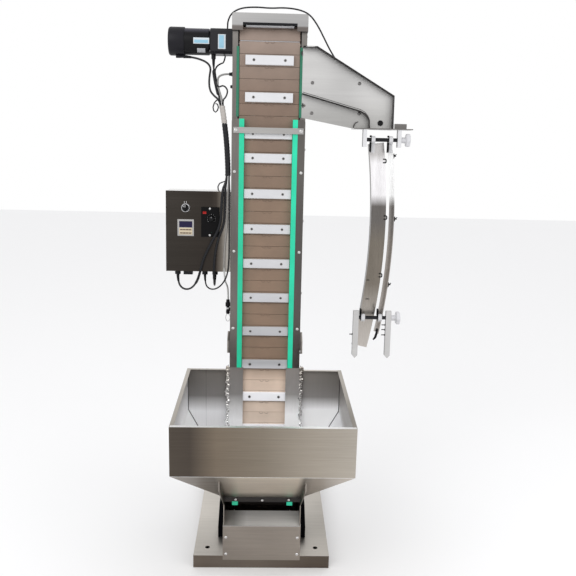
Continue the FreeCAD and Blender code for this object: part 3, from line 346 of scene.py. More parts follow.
# Painted light up the column: slightly lighter towards the top
COLUMN_LOOK = banded(("Z", 0.65, 1.75), (0, 112, 108, 104), (0.45, 112, 108, 105), (1, 126, 122, 118))
# Painted shade on the header cover: its lower part darker than its upper part
HEADER_LOOK = banded(span("header_cover", "Z"), (0, 106, 100, 97), (0.34, 108, 102, 99),
    (0.42, 160, 159, 159), (1, 168, 167, 166))
# Painted reflection on the box's front panel: dark at the left, a bright band at its right end
PANEL_LOOK = banded(span("box_panel", "X"), (0, 62, 58, 54), (0.70, 57, 52, 48), (0.78, 66, 60, 55),
    (0.86, 112, 105, 97), (0.94, 172, 167, 160), (1, 186, 182, 175))
# Painted shade on the chute plate: darker towards its bottom
CHUTE_LOOK = banded(span("chute_plate", "Z"), (0, 166, 165, 163), (0.18, 176, 175, 173),
    (0.4, 198, 197, 196), (1, 197, 196, 195))
# Painted shade on the green strips: the left ones slightly darker than the right ones
STRIP_LOOK = banded(("X", -0.12, -0.01), (0, 26, 216, 167), (1, 30, 230, 181))
# Painted shade and light up the chain: near black low in the boot, bright inside the hopper, lighter towards the
# head
SLAT_LOOK = banded(CHAIN, (0, 40, 32, 28), (0.07, 52, 42, 36), (0.12, 246, 227, 210),
    (0.268, 244, 219, 198), (0.308, 150, 124, 103), (0.652, 144, 119, 99), (0.86, 136, 113, 97),
    (0.93, 148, 128, 114), (1, 164, 145, 133))
# Painted shade and light on the cleats up the chain: dark low in the boot, brighter than white inside the hopper
CLEAT_LOOK = banded(CHAIN, (0, 60, 56, 54), (0.07, 70, 66, 64), (0.12, 276, 276, 280),
    (0.268, 276, 276, 280), (0.308, 194, 194, 197), (0.48, 222, 222, 225), (0.652, 228, 228, 231),
    (1, 238, 238, 241))
TUBE_LOOK = banded(("Z", 0.88, 1.62), (0, 232, 232, 230), (0.14, 232, 232, 230), (0.17, 158, 154, 149),
    (0.6, 150, 147, 143), (1, 168, 167, 165))
# Painted reflections and shade along the two rails
LEFT_RAIL_LOOK = rail_look((186, 180, 174), (158.19, 151.99, 145.13), (122, 115, 106), (112, 108, 105),
    (250, 248, 250), (208, 205, 204))
RIGHT_RAIL_LOOK = rail_look((184, 179, 175), (171.64, 166.21, 161.34), (158, 152, 146), (150, 146, 143),
    (255, 255, 255), (255, 255, 255))
# Painted light: the tone of the top faces of the hopper's sides
RIM_TONE = (172, 166, 158)
# Painted shade: the chute's faces that look left and down
CHUTE_UNDERSIDE = (50, 48, 48)
HIDDEN_SHEET = (140, 136, 132)

MATERIALS = {
    # Base pan: painted shade across its front, painted light on its top faces
    "base_pan": steel("base_steel", PAN_EDGE, GRAIN_X, 0.38, faces=[(*UPWARD, PAN_TOP)]),
    # Boot sides: painted light on their front edges, painted shade on their outer faces
    "boot_sides": steel("boot_side_steel", (128, 124, 120), GRAIN_Z, 0.36,
        faces=[(*FORWARD, (150, 143, 135)), ("OUT", -0.3, -0.7, (84, 79, 74))]),
    "foot_blocks": plastic("foot_rubber", (10, 10, 13), 0.9, 0.1, 700, 0.0001, gloss=0.03),
    # Boot face and floor: near black, painted shade under the hopper
    "boot_face": steel("boot_face_steel", (34, 28, 25), GRAIN_X, 0.5, metal=0.3),
    "boot_floor": steel("boot_floor_steel", (24, 19, 17), GRAIN_X, 0.6, metal=0.2),
    # Boot cover: painted shade on its top faces, darker at the left
    "boot_cover": steel("boot_cover_steel", (143, 135, 127), GRAIN_X, 0.36, faces=[(*TOP_SIDE, COVER_TOP)],
        inner_metal=0.3),
    # Hopper front: painted light on its inner faces and on its top rim, which shows as a bright line
    "hopper_front": steel("hopper_front_steel", FRONT_LOOK, GRAIN_X, 0.36, cloud=0.06,
        faces=[(*REARWARD, (240, 240, 241)), (*TOP_SIDE, (246, 246, 246))], inner_metal=0.2),
    # Hopper sides and back: the left side's outer face painted darker than the right side's (painted shade), the
    # back painted lighter towards the right and on its top faces (painted light)
    "hopper_side_left": steel("hopper_left_steel", (92, 83, 73), GRAIN_Y, 0.34, 0.05,
        faces=[("X", 0.2, 0.6, INSIDE_LEFT), (*RIM, RIM_TONE)], inner_metal=0.15),
    "hopper_side_right": steel("hopper_right_steel", (160, 152, 142), GRAIN_Y, 0.34, 0.05,
        faces=[("X", -0.2, -0.6, INSIDE_RIGHT), (*RIM, RIM_TONE)], inner_metal=0.15),
    "hopper_back": steel("hopper_back_steel", (150, 146, 142), GRAIN_Z, 0.32, 0.04, 0.08,
        patches=[("X", -0.10, 0.03, 1.0, 1.32)], faces=[(*FORWARD, INSIDE_BACK),
        (*TOP_SIDE, (176, 171, 164))], inner_metal=0.15),
    # Front slope: painted shade darker towards its bottom, and painted light on its inner faces
    "hopper_slope_front": steel("slope_front_steel", SLOPE_LOOK, GRAIN_X, 0.34,
        patches=[("Z", 0.262, 0.335, 0.30, 1.0)], faces=[(*UPWARD, (240, 240, 241))], inner_metal=0.2),
    # Belt guards: painted lighter towards the right (painted light)
    "belt_guards": steel("guard_steel", GUARD_LOOK, GRAIN_Z, 0.32, 0.05,
        patches=[("X", -0.09, -0.04, 1.0, 1.36)], metal=0.2),
    # Column sides: painted highlights, their outer edges about three times brighter
    "column_sides": steel("column_steel", COLUMN_LOOK, GRAIN_Z, 0.34,
        patches=[("X", -0.1905, -0.184, 3.2, 1.0), ("X", 0.057, 0.0635, 1.0, 3.2)]),
    "column_back": steel("column_back_steel", HIDDEN_SHEET, GRAIN_Z, 0.36),
    # Front flanges: painted shade, the right one darker
    "front_flanges": steel("flange_steel", COLUMN_LOOK, GRAIN_Z, 0.32,
        patches=[("X", -0.09, -0.03, 1.0, 0.66)]),
    "crossbar": steel("bar_steel", (170, 168, 166), GRAIN_X, 0.30),
    "column_spacers": steel("spacer_steel", HIDDEN_SHEET, GRAIN_X, 0.36),
    # Header cover: painted shade, near black, on its faces that look down inside it
    "header_cover": steel("header_steel", HEADER_LOOK, GRAIN_X, 0.36, 0.05, 0.05,
        faces=[("Z", -0.3, -0.7, (30, 28, 28))]),
    # Control box: painted light, a lighter tone on its top faces
    "control_box": steel("box_steel", (150, 146, 141), GRAIN_Y, 0.34, faces=[(*TOP_SIDE, (222, 221, 220))]),
    # Box panel: painted reflection towards its right end
    "box_panel": steel("panel_steel", PANEL_LOOK, GRAIN_X, 0.30, 0.08, 0.10),
    # Chute plate: painted shade low down and on its faces that look left and down, painted light towards the right
    "chute_plate": steel("chute_steel", CHUTE_LOOK, GRAIN_X, 0.42, 0.04, 0.13,
        patches=[("X", 0.17, 0.27, 1.0, 1.17)], faces=[("X", -0.2, -0.6, CHUTE_UNDERSIDE),
        ("Z", -0.4, -0.7, CHUTE_UNDERSIDE)]),
    # Chute rib: painted shade on the rib, with a painted highlight on its upward faces
    "chute_rib": steel("rib_steel", (70, 68, 68), GRAIN_X, 0.34, faces=[(*UPWARD, (220, 220, 220))]),
    # Chute shelf: painted shade on its front faces
    "chute_shelf": steel("shelf_steel", (205, 205, 205), GRAIN_X, 0.36,
        faces=[(*FORWARD, (118, 115, 113))]),
    # Left rail: painted shade on its faces that look left
    "rail_left": steel("rail_left_steel", LEFT_RAIL_LOOK, GRAIN_Z, 0.28, 0.10, 0.08,
        faces=[("X", -0.3, -0.7, (96, 93, 91))]),
    "rail_right": steel("rail_right_steel", RIGHT_RAIL_LOOK, GRAIN_Z, 0.28, 0.10, 0.08),
    # Green strips: the upper ones, seen edge-on, are the same green with painted shade
    "strips_lower": plastic("strip_green", STRIP_LOOK, 0.5),
    "strips_upper": plastic("strip_green_painted_shade", (30, 124, 93), 0.5),
    # Slats: the scuff marks are wear; the tone up the chain is painted light and shade
    "chain_slats": plastic("slat_tan", SLAT_LOOK, 0.48, 0.05, 1500, 0.00003, 0.06),
    # Cleats: painted light and shade up the chain
    "cleats": plastic("cleat_white", CLEAT_LOOK, 0.42, 0.02),
    "slide_rails": plastic("rail_white", (225, 224, 220)),
    "bearings": plastic("bearing_grey", (110, 110, 110), 0.4),
    "gearbox": plastic("gearbox_paint", (22, 21, 26), 0.4, 0.08, 900, 0.00008, gloss=0.3),
    "box_glands": plastic("gland_black", (28, 28, 34), 0.42, gloss=0.25),
    "speed_unit": plastic("speed_black", (12, 11, 12), gloss=0.10),
    "counter": plastic("counter_grey", (180, 178, 176)),
    "rocker": plastic("rocker_red", (172, 22, 16), 0.36, gloss=0.25),
    # Clamp blocks and fork arms: painted shade on their faces that look left
    "clamp_blocks": plastic("block_white", (236, 236, 238), 0.42, 0.03,
        faces=[(*LEFT_END, (150, 150, 152))]),
    "fork_arms": plastic("fork_white", (214, 213, 212), 0.42, 0.04, faces=[(*LEFT_END, (128, 127, 127))]),
}
for end in ("head", "tail"):
    MATERIALS[end + "_sprocket"] = plastic("sprocket_nylon_" + end, (215, 212, 204), 0.5)
    MATERIALS[end + "_shaft"] = steel(end + "_shaft_steel", (188, 188, 188), GRAIN_X, 0.22)
for side in ("left", "right"):
    # Rail clamp rings: painted shade, near black, on their faces that look left
    MATERIALS["rail_clamps_" + side] = plastic("ring_white_" + side, (226, 226, 228), 0.42, 0.03,
                                               faces=[(*LEFT_END, (34, 34, 36))])
for level in ("upper", "lower"):
    MATERIALS["rod_" + level] = steel("rod_%s_steel" % level, (46, 46, 48), GRAIN_X, 0.25)
for node, material in MATERIALS.items():
    frame["nodes"][node].data.materials.clear()
    frame["nodes"][node].data.materials.append(material)

screw_and_highlight_steel = steel("screw_and_highlight_steel", (205, 204, 203), GRAIN_X, 0.24, 0.03, 0.05)
screw_and_shade_dark = steel("screw_and_shade_dark", (84, 82, 82), GRAIN_X, 0.32, 0.03, 0.05)
chute_screw = steel("chute_screw", (124, 122, 121), GRAIN_X, 0.32, 0.03, 0.05)
# Painted shade: the dark wires along the chute's lip and rib
chute_lip_shade = steel("lip_painted_shade_steel", (52, 50, 50), GRAIN_X, 0.4, 0.03, 0.05)
# Weld beads: the beads are real; their tone is painted light and shade, bright low down and darker towards the top
weld_steel = steel("weld_steel", WELD_LOOK, GRAIN_Z, 0.18, 0.12, 0.35)
# Motor shell: black paint, with a painted highlight on its upward faces
motor_black = plastic("motor_paint", (15, 14, 17), 0.4, 0.08, 900, 0.00008, gloss=0.18,
    faces=[("Z", 0.55, 0.9, (66, 64, 76))])
fan_black = plastic("fan_paint", (24, 23, 30), 0.45, 0.08, 900, 0.00008, gloss=0.22)
bezel_steel = steel("bezel_steel", (214, 214, 216), GRAIN_X, 0.16, 0.03, 0.05)
sensor_steel = steel("sensor_steel", (160, 160, 162), GRAIN_Y, 0.3)
knob_black = plastic("knob_black", (10, 10, 12), 0.32, gloss=0.2)
white_knob_and_highlight = plastic("white_knob_and_highlight", (230, 230, 233), 0.38, 0.04)
cord_black = plastic("cord_jacket", (15, 14, 19), 0.26, gloss=0.4)
cord_white = plastic("tube_wall", TUBE_LOOK, 0.30)
sleeve_black = plastic("sleeve_wrap", (26, 26, 30), 0.5, gloss=0.25)
sleeve_pale = plastic("sleeve_pale", (196, 190, 184), 0.5)
label_white = plastic("label_white", (222, 232, 238), 0.4, 0.03)
label_blue = plastic("label_blue", (160, 212, 236), 0.4, 0.06)
label_grey = plastic("label_grey", (196, 198, 202), 0.4)
window_dark = plastic("window_dark", (34, 28, 66), 0.2, gloss=0.2)
button_cream = plastic("button_cream", (224, 208, 178))
mark_white = plastic("mark_white", (220, 220, 220), 0.5)
rubber_and_shade_dark = plastic("rubber_and_shade_dark", (20, 20, 24), 0.6, gloss=0.2)
clamp_block_black = plastic("clamp_block_black", (10, 10, 12), 0.7, gloss=0.08)
seam_brown = plastic("seam_brown", (112, 92, 78), 0.6)


# Cords: the routes of the leads and the air tube, on the column's own axes in millimetres
BUNDLE = [(-152, -74, 1378), (-143, -73, 1325), (-134, -72.6, 1255), (-129.5, -72.4, 1185),
          (-128, -73, 1132)]
LANE = 3.6


def lane(side, depth):
    return [(x + side * LANE, v + depth * LANE, w) for x, v, w in BUNDLE]


ROUTES = {
    "motor_lead": [(-277.5, -12, 1517), (-243, -12, 1517), (-186, -27, 1494), (-193, -46, 1446),
        (-190, -57, 1411), (-176, -68, 1393)] + lane(-1, -1) + [(-145, -88, 1098), (-148, -88.5, 1035),
        (-152, -88, 978), (-180, -88.5, 926), (-206, -88, 872), (-216, -86, 830), (-228, -74, 792),
        (-251, -54, 764), (-279, -33, 760), (-297, -20, 780), (-297, -20, 810)],
    "gearbox_lead": [(-181, -10, 1512), (-181, -10, 1484), (-176, -24, 1452), (-168, -44, 1420)]
        + lane(-1, 1) + [(-136, -82, 1098), (-137.5, -84, 1040), (-139, -84.5, 985), (-158, -86, 940),
        (-169, -86.5, 885), (-172, -85, 830), (-172, -68, 790), (-172, -42, 774), (-172, -20, 784),
        (-172, -20, 810)],
    "air_tube": [(-129.5, -30, 1464), (-163.5, -30, 1464), (-166, -46, 1429), (-157, -59, 1403)]
        + lane(1, 1) + [(-127.5, -82, 1098), (-129, -83, 1040), (-130, -82, 985), (-136, -82.5, 925),
        (-139, -82, 875), (-138, -82.3, 826), (-135, -64, 790), (-130, -38, 776), (-127.5, -25, 755),
        (-127.5, -25, 726)],
    "sensor_lead": [(358.8, -21.15, 1319.5), (358.8, 10.85, 1319.5), (350, 32, 1348), (326, 34, 1390),
        (290, 16, 1434), (252, -10, 1474), (218, -36, 1508), (190, -54, 1545), (170, -60, 1580),
        (150, -60, 1616), (124, -56, 1650), (90, -52, 1664), (44, -49, 1669), (0, -47, 1666),
        (-45, -47, 1669), (-92, -48, 1665), (-122, -45, 1650), (-135, -30, 1628), (-137, -4, 1611),
        (-139, 24, 1612), (-141, 43, 1594), (-143, 46, 1560), (-146, 42, 1526), (-151, 22, 1504),
        (-157, -2, 1500), (-172, -24, 1487), (-176, -42, 1462), (-172, -57, 1437), (-161, -68, 1418),
        (-145, -75, 1426), (-130, -77, 1411), (-136, -77, 1389)] + lane(1, -1) + [(-121.8, -87, 1098),
        (-122, -88, 1040), (-122.5, -87, 985), (-122, -86, 925), (-122.5, -86.5, 866), (-127, -87, 818),
        (-144, -80, 786), (-167, -60, 766), (-190, -36, 762), (-206, -20, 776), (-206, -20, 810)],
}
THICK = {"motor_lead": 6.5, "gearbox_lead": 6, "air_tube": 6, "sensor_lead": 5}


def smooth_curve(name, points, thick, material):
    """A tube on one smooth curve through the pull of the given points."""
    data = bpy.data.curves.new(name, "CURVE")
    data.dimensions = "3D"
    data.bevel_depth = thick * MM / 2
    data.bevel_resolution = 4
    data.resolution_u = 10
    data.use_fill_caps = True
    spline = data.splines.new("NURBS")
    spline.points.add(len(points) - 1)
    for control, point in zip(spline.points, points):
        control.co = (*point, 1)
    spline.order_u = 3
    spline.use_endpoint_u = True
    data.materials.append(material)
    return new_object(name, data)


def line_of(cord):
    """Points along a cord's own smooth line."""
    bare = cord.copy()
    bare.data = cord.data.copy()
    bare.data.bevel_depth = 0
    mesh = bpy.data.meshes.new_from_object(bare)
    points = [vert.co.copy() for vert in mesh.vertices]
    bpy.data.objects.remove(bare)
    bpy.data.meshes.remove(mesh)
    return points


LINES = {}
for name, route in ROUTES.items():
    cord = smooth_curve(name + "_cord", [column(*place) for place in route], THICK[name],
                        cord_white if name == "air_tube" else cord_black)
    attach(cord, "frame")
    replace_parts(cord, name)
    LINES[name] = line_of(cord)


# Small pieces are gathered into one mesh for each body and material
class Gather:
    """Collects turned, blocky and wire-like bits into one object. Sizes are millimetres."""

    def __init__(self, name, material, body="frame"):
        self.name = name
        self.material = material
        self.body = body
        self.mesh = bmesh.new()

    def ring(self, face, radius, sides, height=0, lobes=(0, 0)):
        """Vertices of a circle; lobes are how many and how deep, as a share of the radius."""
        verts = []
        for i in range(sides):
            angle = 2 * math.pi * i / sides
            reach = radius * (1 - lobes[1] * (0.5 - 0.5 * math.cos(lobes[0] * angle))) * MM
            verts.append(self.mesh.verts.new(face @ Vector((
                reach * math.cos(angle), reach * math.sin(angle), height * MM))))
        return verts

    def skin(self, rings, sides):
        """Faces between each ring and the next, where a ring may be a single point."""
        for low, high in zip(rings, rings[1:]):
            for k in range(sides):
                corners = (low[k % len(low)], low[(k + 1) % len(low)],
                           high[(k + 1) % len(high)], high[k % len(high)])
                unique = list(dict.fromkeys(corners))
                if len(unique) > 2:
                    self.mesh.faces.new(unique)
        return self

    def tube(self, rings, sides):
        """A skin that is closed at both ends."""
        self.skin(rings, sides)
        self.mesh.faces.new(rings[0])
        self.mesh.faces.new(rings[-1])
        return self

    def lathe(self, centre, axis, profile, sides=16, lobes=(0, 0)):
        """Turn (height, radius) pairs about an axis; lobes are cut into the outer half only."""
        most = max(radius for height, radius in profile)
        face = facing(centre, axis)
        rings = []
        for height, radius in profile:
            if radius == 0:
                rings.append([self.mesh.verts.new(face @ Vector((0, 0, height * MM)))])
            else:
                cut = lobes if radius > most / 2 else (0, 0)
                rings.append(self.ring(face, radius, sides, height, cut))
        return self.skin(rings, sides)

    def screw(self, centre, axis, radius, height):
        """A domed socket screw head."""
        return self.lathe(centre, axis, [
            (0, radius), (height * 0.55, radius), (height * 0.9, radius * 0.8),
            (height, radius * 0.62), (height, radius * SOCKET),
            (height * 0.35, radius * SOCKET * 0.92), (height * 0.35, 0)])

    def block(self, centre, axis, size, up, bevel):
        """A block with softened edges: size is across, along up, and along the axis."""
        made = bmesh.ops.create_cube(self.mesh, size=1)
        shape = (facing(centre, axis, up)
                 @ Matrix.Diagonal((size[0] * MM, size[1] * MM, size[2] * MM, 1)))
        bmesh.ops.transform(self.mesh, matrix=shape, verts=made["verts"])
        if bevel:
            edges = list({edge for vert in made["verts"] for edge in vert.link_edges})
            bmesh.ops.bevel(self.mesh, geom=edges, offset=bevel * MM, segments=2, affect="EDGES")
        return self

    def plate(self, place, size, bevel, up=UP):
        """A block that faces the front, at a place on the column."""
        return self.block(place, FRONT, size, up, bevel)

    def wire(self, points, radius, sides=6, ends=1.0):
        """A thin tube along points; its ends may taper to a share of the radius."""
        last = len(points) - 1
        rings = [self.ring(face, radius * (ends if i in (0, last) else 1.0), sides)
                 for i, face in enumerate(frames_along(points))]
        for low, high in zip(rings, rings[1:]):
            turn = min(range(sides), key=lambda k: (high[k].co - low[0].co).length)
            high[:] = high[turn:] + high[:turn]
        return self.tube(rings, sides)

    def wrap(self, points, radii, sides=16):
        """A skin along points with a radius for each."""
        return self.tube([self.ring(face, radius, sides)
                          for face, radius in zip(frames_along(points, ACROSS), radii)], sides)

    def finish(self, smooth=True):
        bmesh.ops.recalc_face_normals(self.mesh, faces=self.mesh.faces)
        data = bpy.data.meshes.new(self.name)
        self.mesh.to_mesh(data)
        self.mesh.free()
        data.materials.append(self.material)
        if smooth:
            data.shade_smooth()
            data.set_sharp_from_angle(angle=math.radians(35))
        piece = new_object(self.name, data)
        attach(piece, self.body)
        return piece


def facing(centre, axis, up=None):
    """A matrix at the centre whose Z points along the axis and whose Y leans towards up."""
    z = Vector(axis).normalized()
    hint = Vector(up) if up is not None else (UP if abs(z.dot(UP)) < 0.9 else BACK)
    x = hint.cross(z).normalized()
    y = z.cross(x)
    matrix = Matrix((x, y, z)).transposed().to_4x4()
    return Matrix.Translation(placed(centre)) @ matrix


def frames_along(points, up=None):
    """A matrix at each point that looks along the line."""
    points = [placed(point) for point in points]
    last = len(points) - 1
    return [facing(point, (points[min(i + 1, last)] - points[max(i - 1, 0)]).normalized(), up)
            for i, point in enumerate(points)]


def solid(*pairs):
    """A turned profile that is closed at both ends."""
    return [(pairs[0][0], 0), *pairs, (pairs[-1][0], 0)]


# Socket of a screw head, as a share of its radius
SOCKET = 0.45

# Chain: where each slat sits, for the hinge marks and the cleats' screws
PITCH = 38.1
STRAIGHT = 41
WRAP = 5
SLATS = 2 * (STRAIGHT + WRAP)
SLAT_FACE = 7.5
CLEAT_FACE = 17.5
CLEATS = 31
FIRST_CLEAT = 33
CLEAT_STEP = 3
CLEAT_SCREW = 49.5
EYE = 9
EYE_HALF = 6
EYE_REACH = 5
pin_radius = PITCH / (2 * math.sin(math.pi / 2 / WRAP))


def slat_place(index):
    """Pin-line centre of a slat and its outward direction."""
    half = STRAIGHT + WRAP
    turn = 180 * (index // half % 2)
    step = index % half
    side = -1 if turn == 0 else 1
    if step < STRAIGHT:
        along = (step + 0.5) * PITCH
        return column(0, side * pin_radius, along if side < 0 else LONG - along), BACK * side
    angle = math.radians(turn + (step - STRAIGHT + 0.5) * 180 / WRAP)
    flat = pin_radius * math.cos(math.pi / 2 / WRAP)
    out = -BACK * math.cos(angle) + UP * math.sin(angle)
    centre = column(0, 0, LONG if turn == 0 else 0)
    return centre + out * flat * MM, out


hinges = Gather("slat_hinge_marks", seam_brown)
for i in range(SLATS):
    centre, out = slat_place(i)
    along = out.cross(ACROSS)
    for middle in (-EYE, EYE):
        arc = [centre + (ACROSS * (middle + EYE_HALF * math.cos(math.pi * k / 6))
                         + along * (PITCH / 2 - 1 - EYE_REACH * math.sin(math.pi * k / 6))
                         + out * (SLAT_FACE + 0.1)) * MM for k in range(7)]
        hinges.wire(arc, 0.5, 4)
hinges.finish(False)
# A bright wire across the slat at the top of the head wrap: a painted highlight
Gather("top_slat_painted_highlight", white_knob_and_highlight).wire(
    [(x, -69.7, 1562.9) for x in (-93, -45, 0, 45, 93)], 0.8).finish()

cleat_rings = Gather("cleat_screw_rings", screw_and_highlight_steel)
cleat_sockets = Gather("cleat_screw_sockets", screw_and_shade_dark)
for i in range(CLEATS):
    centre, out = slat_place((FIRST_CLEAT + CLEAT_STEP * i) % SLATS)
    for x in (-CLEAT_SCREW, CLEAT_SCREW):
        spot = centre + ACROSS * x * MM + out * CLEAT_FACE * MM
        cleat_rings.lathe(spot, out, [(0, 5.2), (0.35, 5.0), (0.35, 3.9), (0.05, 3.8)], 20)
        cleat_sockets.lathe(spot, out, [(0.12, 3.9), (0.3, 2.6), (0.12, 1.7), (0.1, 0)], 12)
cleat_rings.finish()
cleat_sockets.finish()

# Screws and bolts on the frame, and the faces that they sit on
COLUMN_HALF = 117.5
COLUMN_REAR = 91.5
FLANGE_FACE = -83.15
BAR_FACE = -90.15
CHUTE_FACE = -71.15
COVER_FACE = -301.5
THROAT_FACE = -300
GEARBOX_END = -189.5
TO_FRONT = (0, -1, 0)
bolts = Gather("frame_screws", screw_and_highlight_steel)
dark_bolts = Gather("frame_screws_dark", screw_and_shade_dark)
for side in (-1, 1):
    for w in (1156, 898, 639):
        bolts.screw((side * 107, FLANGE_FACE, w), FRONT, 5, 3.4)
    bolts.screw((side * 104, BAR_FACE, 1287), FRONT, 6, 4)
    for z in (53, 115):
        bolts.screw(floor(side * 119.5, COVER_FACE, z), TO_FRONT, 5, 3.2)
    for w in (180, 490, 800, 1110, 1420):
        bolts.screw((side * 106, COLUMN_REAR, w), BACK, 5, 3.4)
    for v in (-24, 24):
        for w in (-24, 24):
            bolts.screw((side * COLUMN_HALF, v, w + LONG), ACROSS * side, 4.5, 3.2)
for x, z in ((-88, 254.5), (0, 252), (88, 254.5)):
    bolts.screw(floor(x, THROAT_FACE, z), TO_FRONT, 4.6, 4)
for w in (1230, 1000, 760, 560):
    bolts.screw((COLUMN_HALF, -74, w), ACROSS, 4.2, 3)
for v in (-32, 26):
    for w in (1534, 1596):
        dark_bolts.screw((GEARBOX_END, v, w), -ACROSS, 4.5, 4)
for x, w in ((101.7, 1528.4), (107.7, 1369)):
    dark_bolts.wire([(x, -72.5, w + 7), (x, -74.5, w), (x + 1, -72.5, w - 7)], 3, 10, 0.6)
dark_bolts.wire([(272, -73.5, 1303), (274, -77, 1311), (279, -78, 1319), (287, -77, 1322)],
                1.8, 8, 0.6)
chute_bolts = Gather("chute_screws", chute_screw)
for x, w in ((137, 1440), (287, 1441), (137, 1345.6), (289, 1347.5)):
    chute_bolts.screw((x, CHUTE_FACE, w), FRONT, 5.4, 3.4)
chute_bolts.finish()
bolts.finish()
dark_bolts.finish()

# Welds: rough beads where the belt guards meet the hopper's back; the thin dark lines in its corners are painted
# shade
WELD_LOW = 245
WELD_HIGH = 503
SEAM_STEPS = 24
random.seed(7)
welds = Gather("hopper_welds", weld_steel)
for side in (-1, 1):
    w = WELD_LOW
    while w < WELD_HIGH:
        size = random.uniform(4.0, 9.0)
        spot = column(side * (124 + random.uniform(-1.5, 2.5)), -81.8 + random.uniform(-0.6, 1.4), w)
        lean = FRONT + ACROSS * side * random.uniform(-0.3, 0.9) + UP * random.uniform(-0.5, 0.5)
        welds.lathe(spot, lean, [(-1, size), (0.9, size * 0.9), (2.6, size * 0.6), (3.4, 0)], 10)
        w += random.uniform(3.6, 7.6)
# Thin dark lines in the hopper's inner corners: painted shade
corner_shade_lines = Gather("hopper_corner_painted_shade", screw_and_shade_dark)
for side in (-1, 1):
    for low, high in (((257.6, -149.7, 507), (257.6, -149.7, 652)),
                      ((257.6, -149.7, 507), (126.4, -149.7, 264.5)),
                      ((257.6, -633.3, 507), (257.6, -633.3, 652))):
        ends = [Vector((side * x, y, z)) for x, y, z in (low, high)]
        corner_shade_lines.wire([floor(*ends[0].lerp(ends[1], k / SEAM_STEPS)) for k in range(SEAM_STEPS + 1)],
                   1.5, 8)
corner_shade_lines.finish()
welds.finish()

# Bright wires along the boot cover's fold and the hopper's front rim, which are painted highlights, and the seam
# lines near the front's two ends
edges = Gather("painted_edge_highlights", screw_and_highlight_steel)
for half, y, z in ((129, -301.2, 156.8), (258, -634.8, 654.2)):
    edges.wire([floor(half * k / 4, y, z) for k in range(-4, 5)], 0.9, 8)
edges.finish()
folds = Gather("front_end_folds", screw_and_shade_dark)
for x in (-249, 249):
    folds.wire([floor(x, -635.6, z) for z in (512, 580, 650)], 0.35)
folds.finish()
# Dark wires along the chute's outer lip and its rib, and a thin one on the plate beside the rib: painted shade
lip_shade_lines = Gather("chute_lip_painted_shade", chute_lip_shade)
edge_line = [(104.4, 1546.3), (148, 1546.3), (395.2, 1402.3), (395.2, 1302)]
lip_shade_lines.wire([(x, -99.6, w) for x, w in edge_line], 2.3, 8)
rib_line = [(104.4, 1403.6), (200, 1378), (290.5, 1353.6), (305, 1346), (315.2, 1334.4),
            (319.4, 1325), (320, 1302)]
lip_shade_lines.wire([(x, -99.6, w) for x, w in rib_line], 1.9, 8)
lip_shade_lines.wire([(x + 3, -71.6, w + 7) for x, w in rib_line[:-1]] + [(326, -71.6, 1302)], 0.8)
lip_shade_lines.finish()
# A black strip across the top of the header's notch: painted shade standing for the dark inside of the opening
Gather("header_notch_painted_shade", rubber_and_shade_dark).plate((0, -84.9, 1612), (170, 8.6, 0.8), 0.2).finish()

# Gearmotor: a turned shell and fan cover, a cable gland, and labels left bare
MOTOR_V = -3
MOTOR_W = 1565
shell = Gather("motor_shell", motor_black)
shell.lathe((GEARBOX_END, MOTOR_V, MOTOR_W), -ACROSS,
            solid((0, 38), (3, 38.2), (4.5, 39.2), (5.5, 40.6), (7.5, 41.2), (84, 41.2)), 64)
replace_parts(shell.finish(), "motor_body")
cover = Gather("fan_shell", fan_black)
grooves = [pair for r in (34, 26, 18)
           for pair in ((51, r), (48.5, r - 0.6), (48.5, r - 3), (51, r - 3.6))]
cover.lathe((-273.5, MOTOR_V, MOTOR_W), -ACROSS,
            solid((0, 44), (0.8, 44.5), (44, 44.5), (47, 43.9), (49.4, 42.2), (50.7, 40), (51, 38),
                  *grooves), 64)
cover.lathe((-301.5, -12, 1517), ACROSS,
            solid((0, 4.2), (1.2, 4.8), (12, 4.8), (14, 4.4), (18, 4.4), (24, 4.0)), 20)
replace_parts(cover.finish(), "fan_cover")


def curved_label(gather, x1, x2, w1, w2, radius):
    """A label wrapped on the motor's round side."""
    rows = []
    for k in range(9):
        w = w1 + (w2 - w1) * k / 8
        v = MOTOR_V - math.sqrt(radius ** 2 - (w - MOTOR_W) ** 2)
        rows.append([gather.mesh.verts.new(column(x, v, w)) for x in (x1, x2)])
    for low, high in zip(rows, rows[1:]):
        gather.mesh.faces.new((low[0], low[1], high[1], high[0]))


rims = Gather("label_rims", label_white)
curved_label(rims, -243, -193, 1554, 1572.5, 41.45)
rims.plate((-153, -40.2, 1562.5), (24, 45, 0.5), 0.15).finish()
blues = Gather("label_middles", label_blue)
curved_label(blues, -240, -196, 1556.5, 1566, 41.6)
blues.plate((-154, -40.45, 1562.5), (15, 39, 0.5), 0.15).finish()
plain = Gather("label_plain", label_grey)
curved_label(plain, -232, -206, 1529.5, 1541, 41.45)
plain.finish()

# Control box: counter with its window and keys, selector, speed dial, screws
PANEL_V = -76
COUNTER_X = -264.2
SELECTOR_X = -265
SELECTOR_W = 1036
DIAL_X = -181
DIAL_W = 1003
DIAL_MARKS = 11
DIAL_REACH = 13.5
for name, material, w, tall in (("counter_window", window_dark, 983, 20),
                                ("counter_keys", button_cream, 960.5, 22)):
    Gather(name, material).plate((COUNTER_X, PANEL_V - 3.1, w), (42.5, tall, 0.6), 0.25).finish()
key_rows = Gather("counter_key_rows", seam_brown)
for w in (965.5, 954.5):
    for x in (-278.5, -269, -259.5, -250):
        key_rows.plate((x, PANEL_V - 3.6, w), (8.4, 4.0, 0.8), 0.3)
key_rows.finish()
bezel = Gather("selector_ring", bezel_steel)
bezel.lathe((SELECTOR_X, PANEL_V, SELECTOR_W), FRONT,
            solid((0, 15), (1.4, 15), (3.2, 13.6), (4, 12.8), (4, 11.8), (2.8, 11.4)), 40)
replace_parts(bezel.finish(), "selector_bezel")
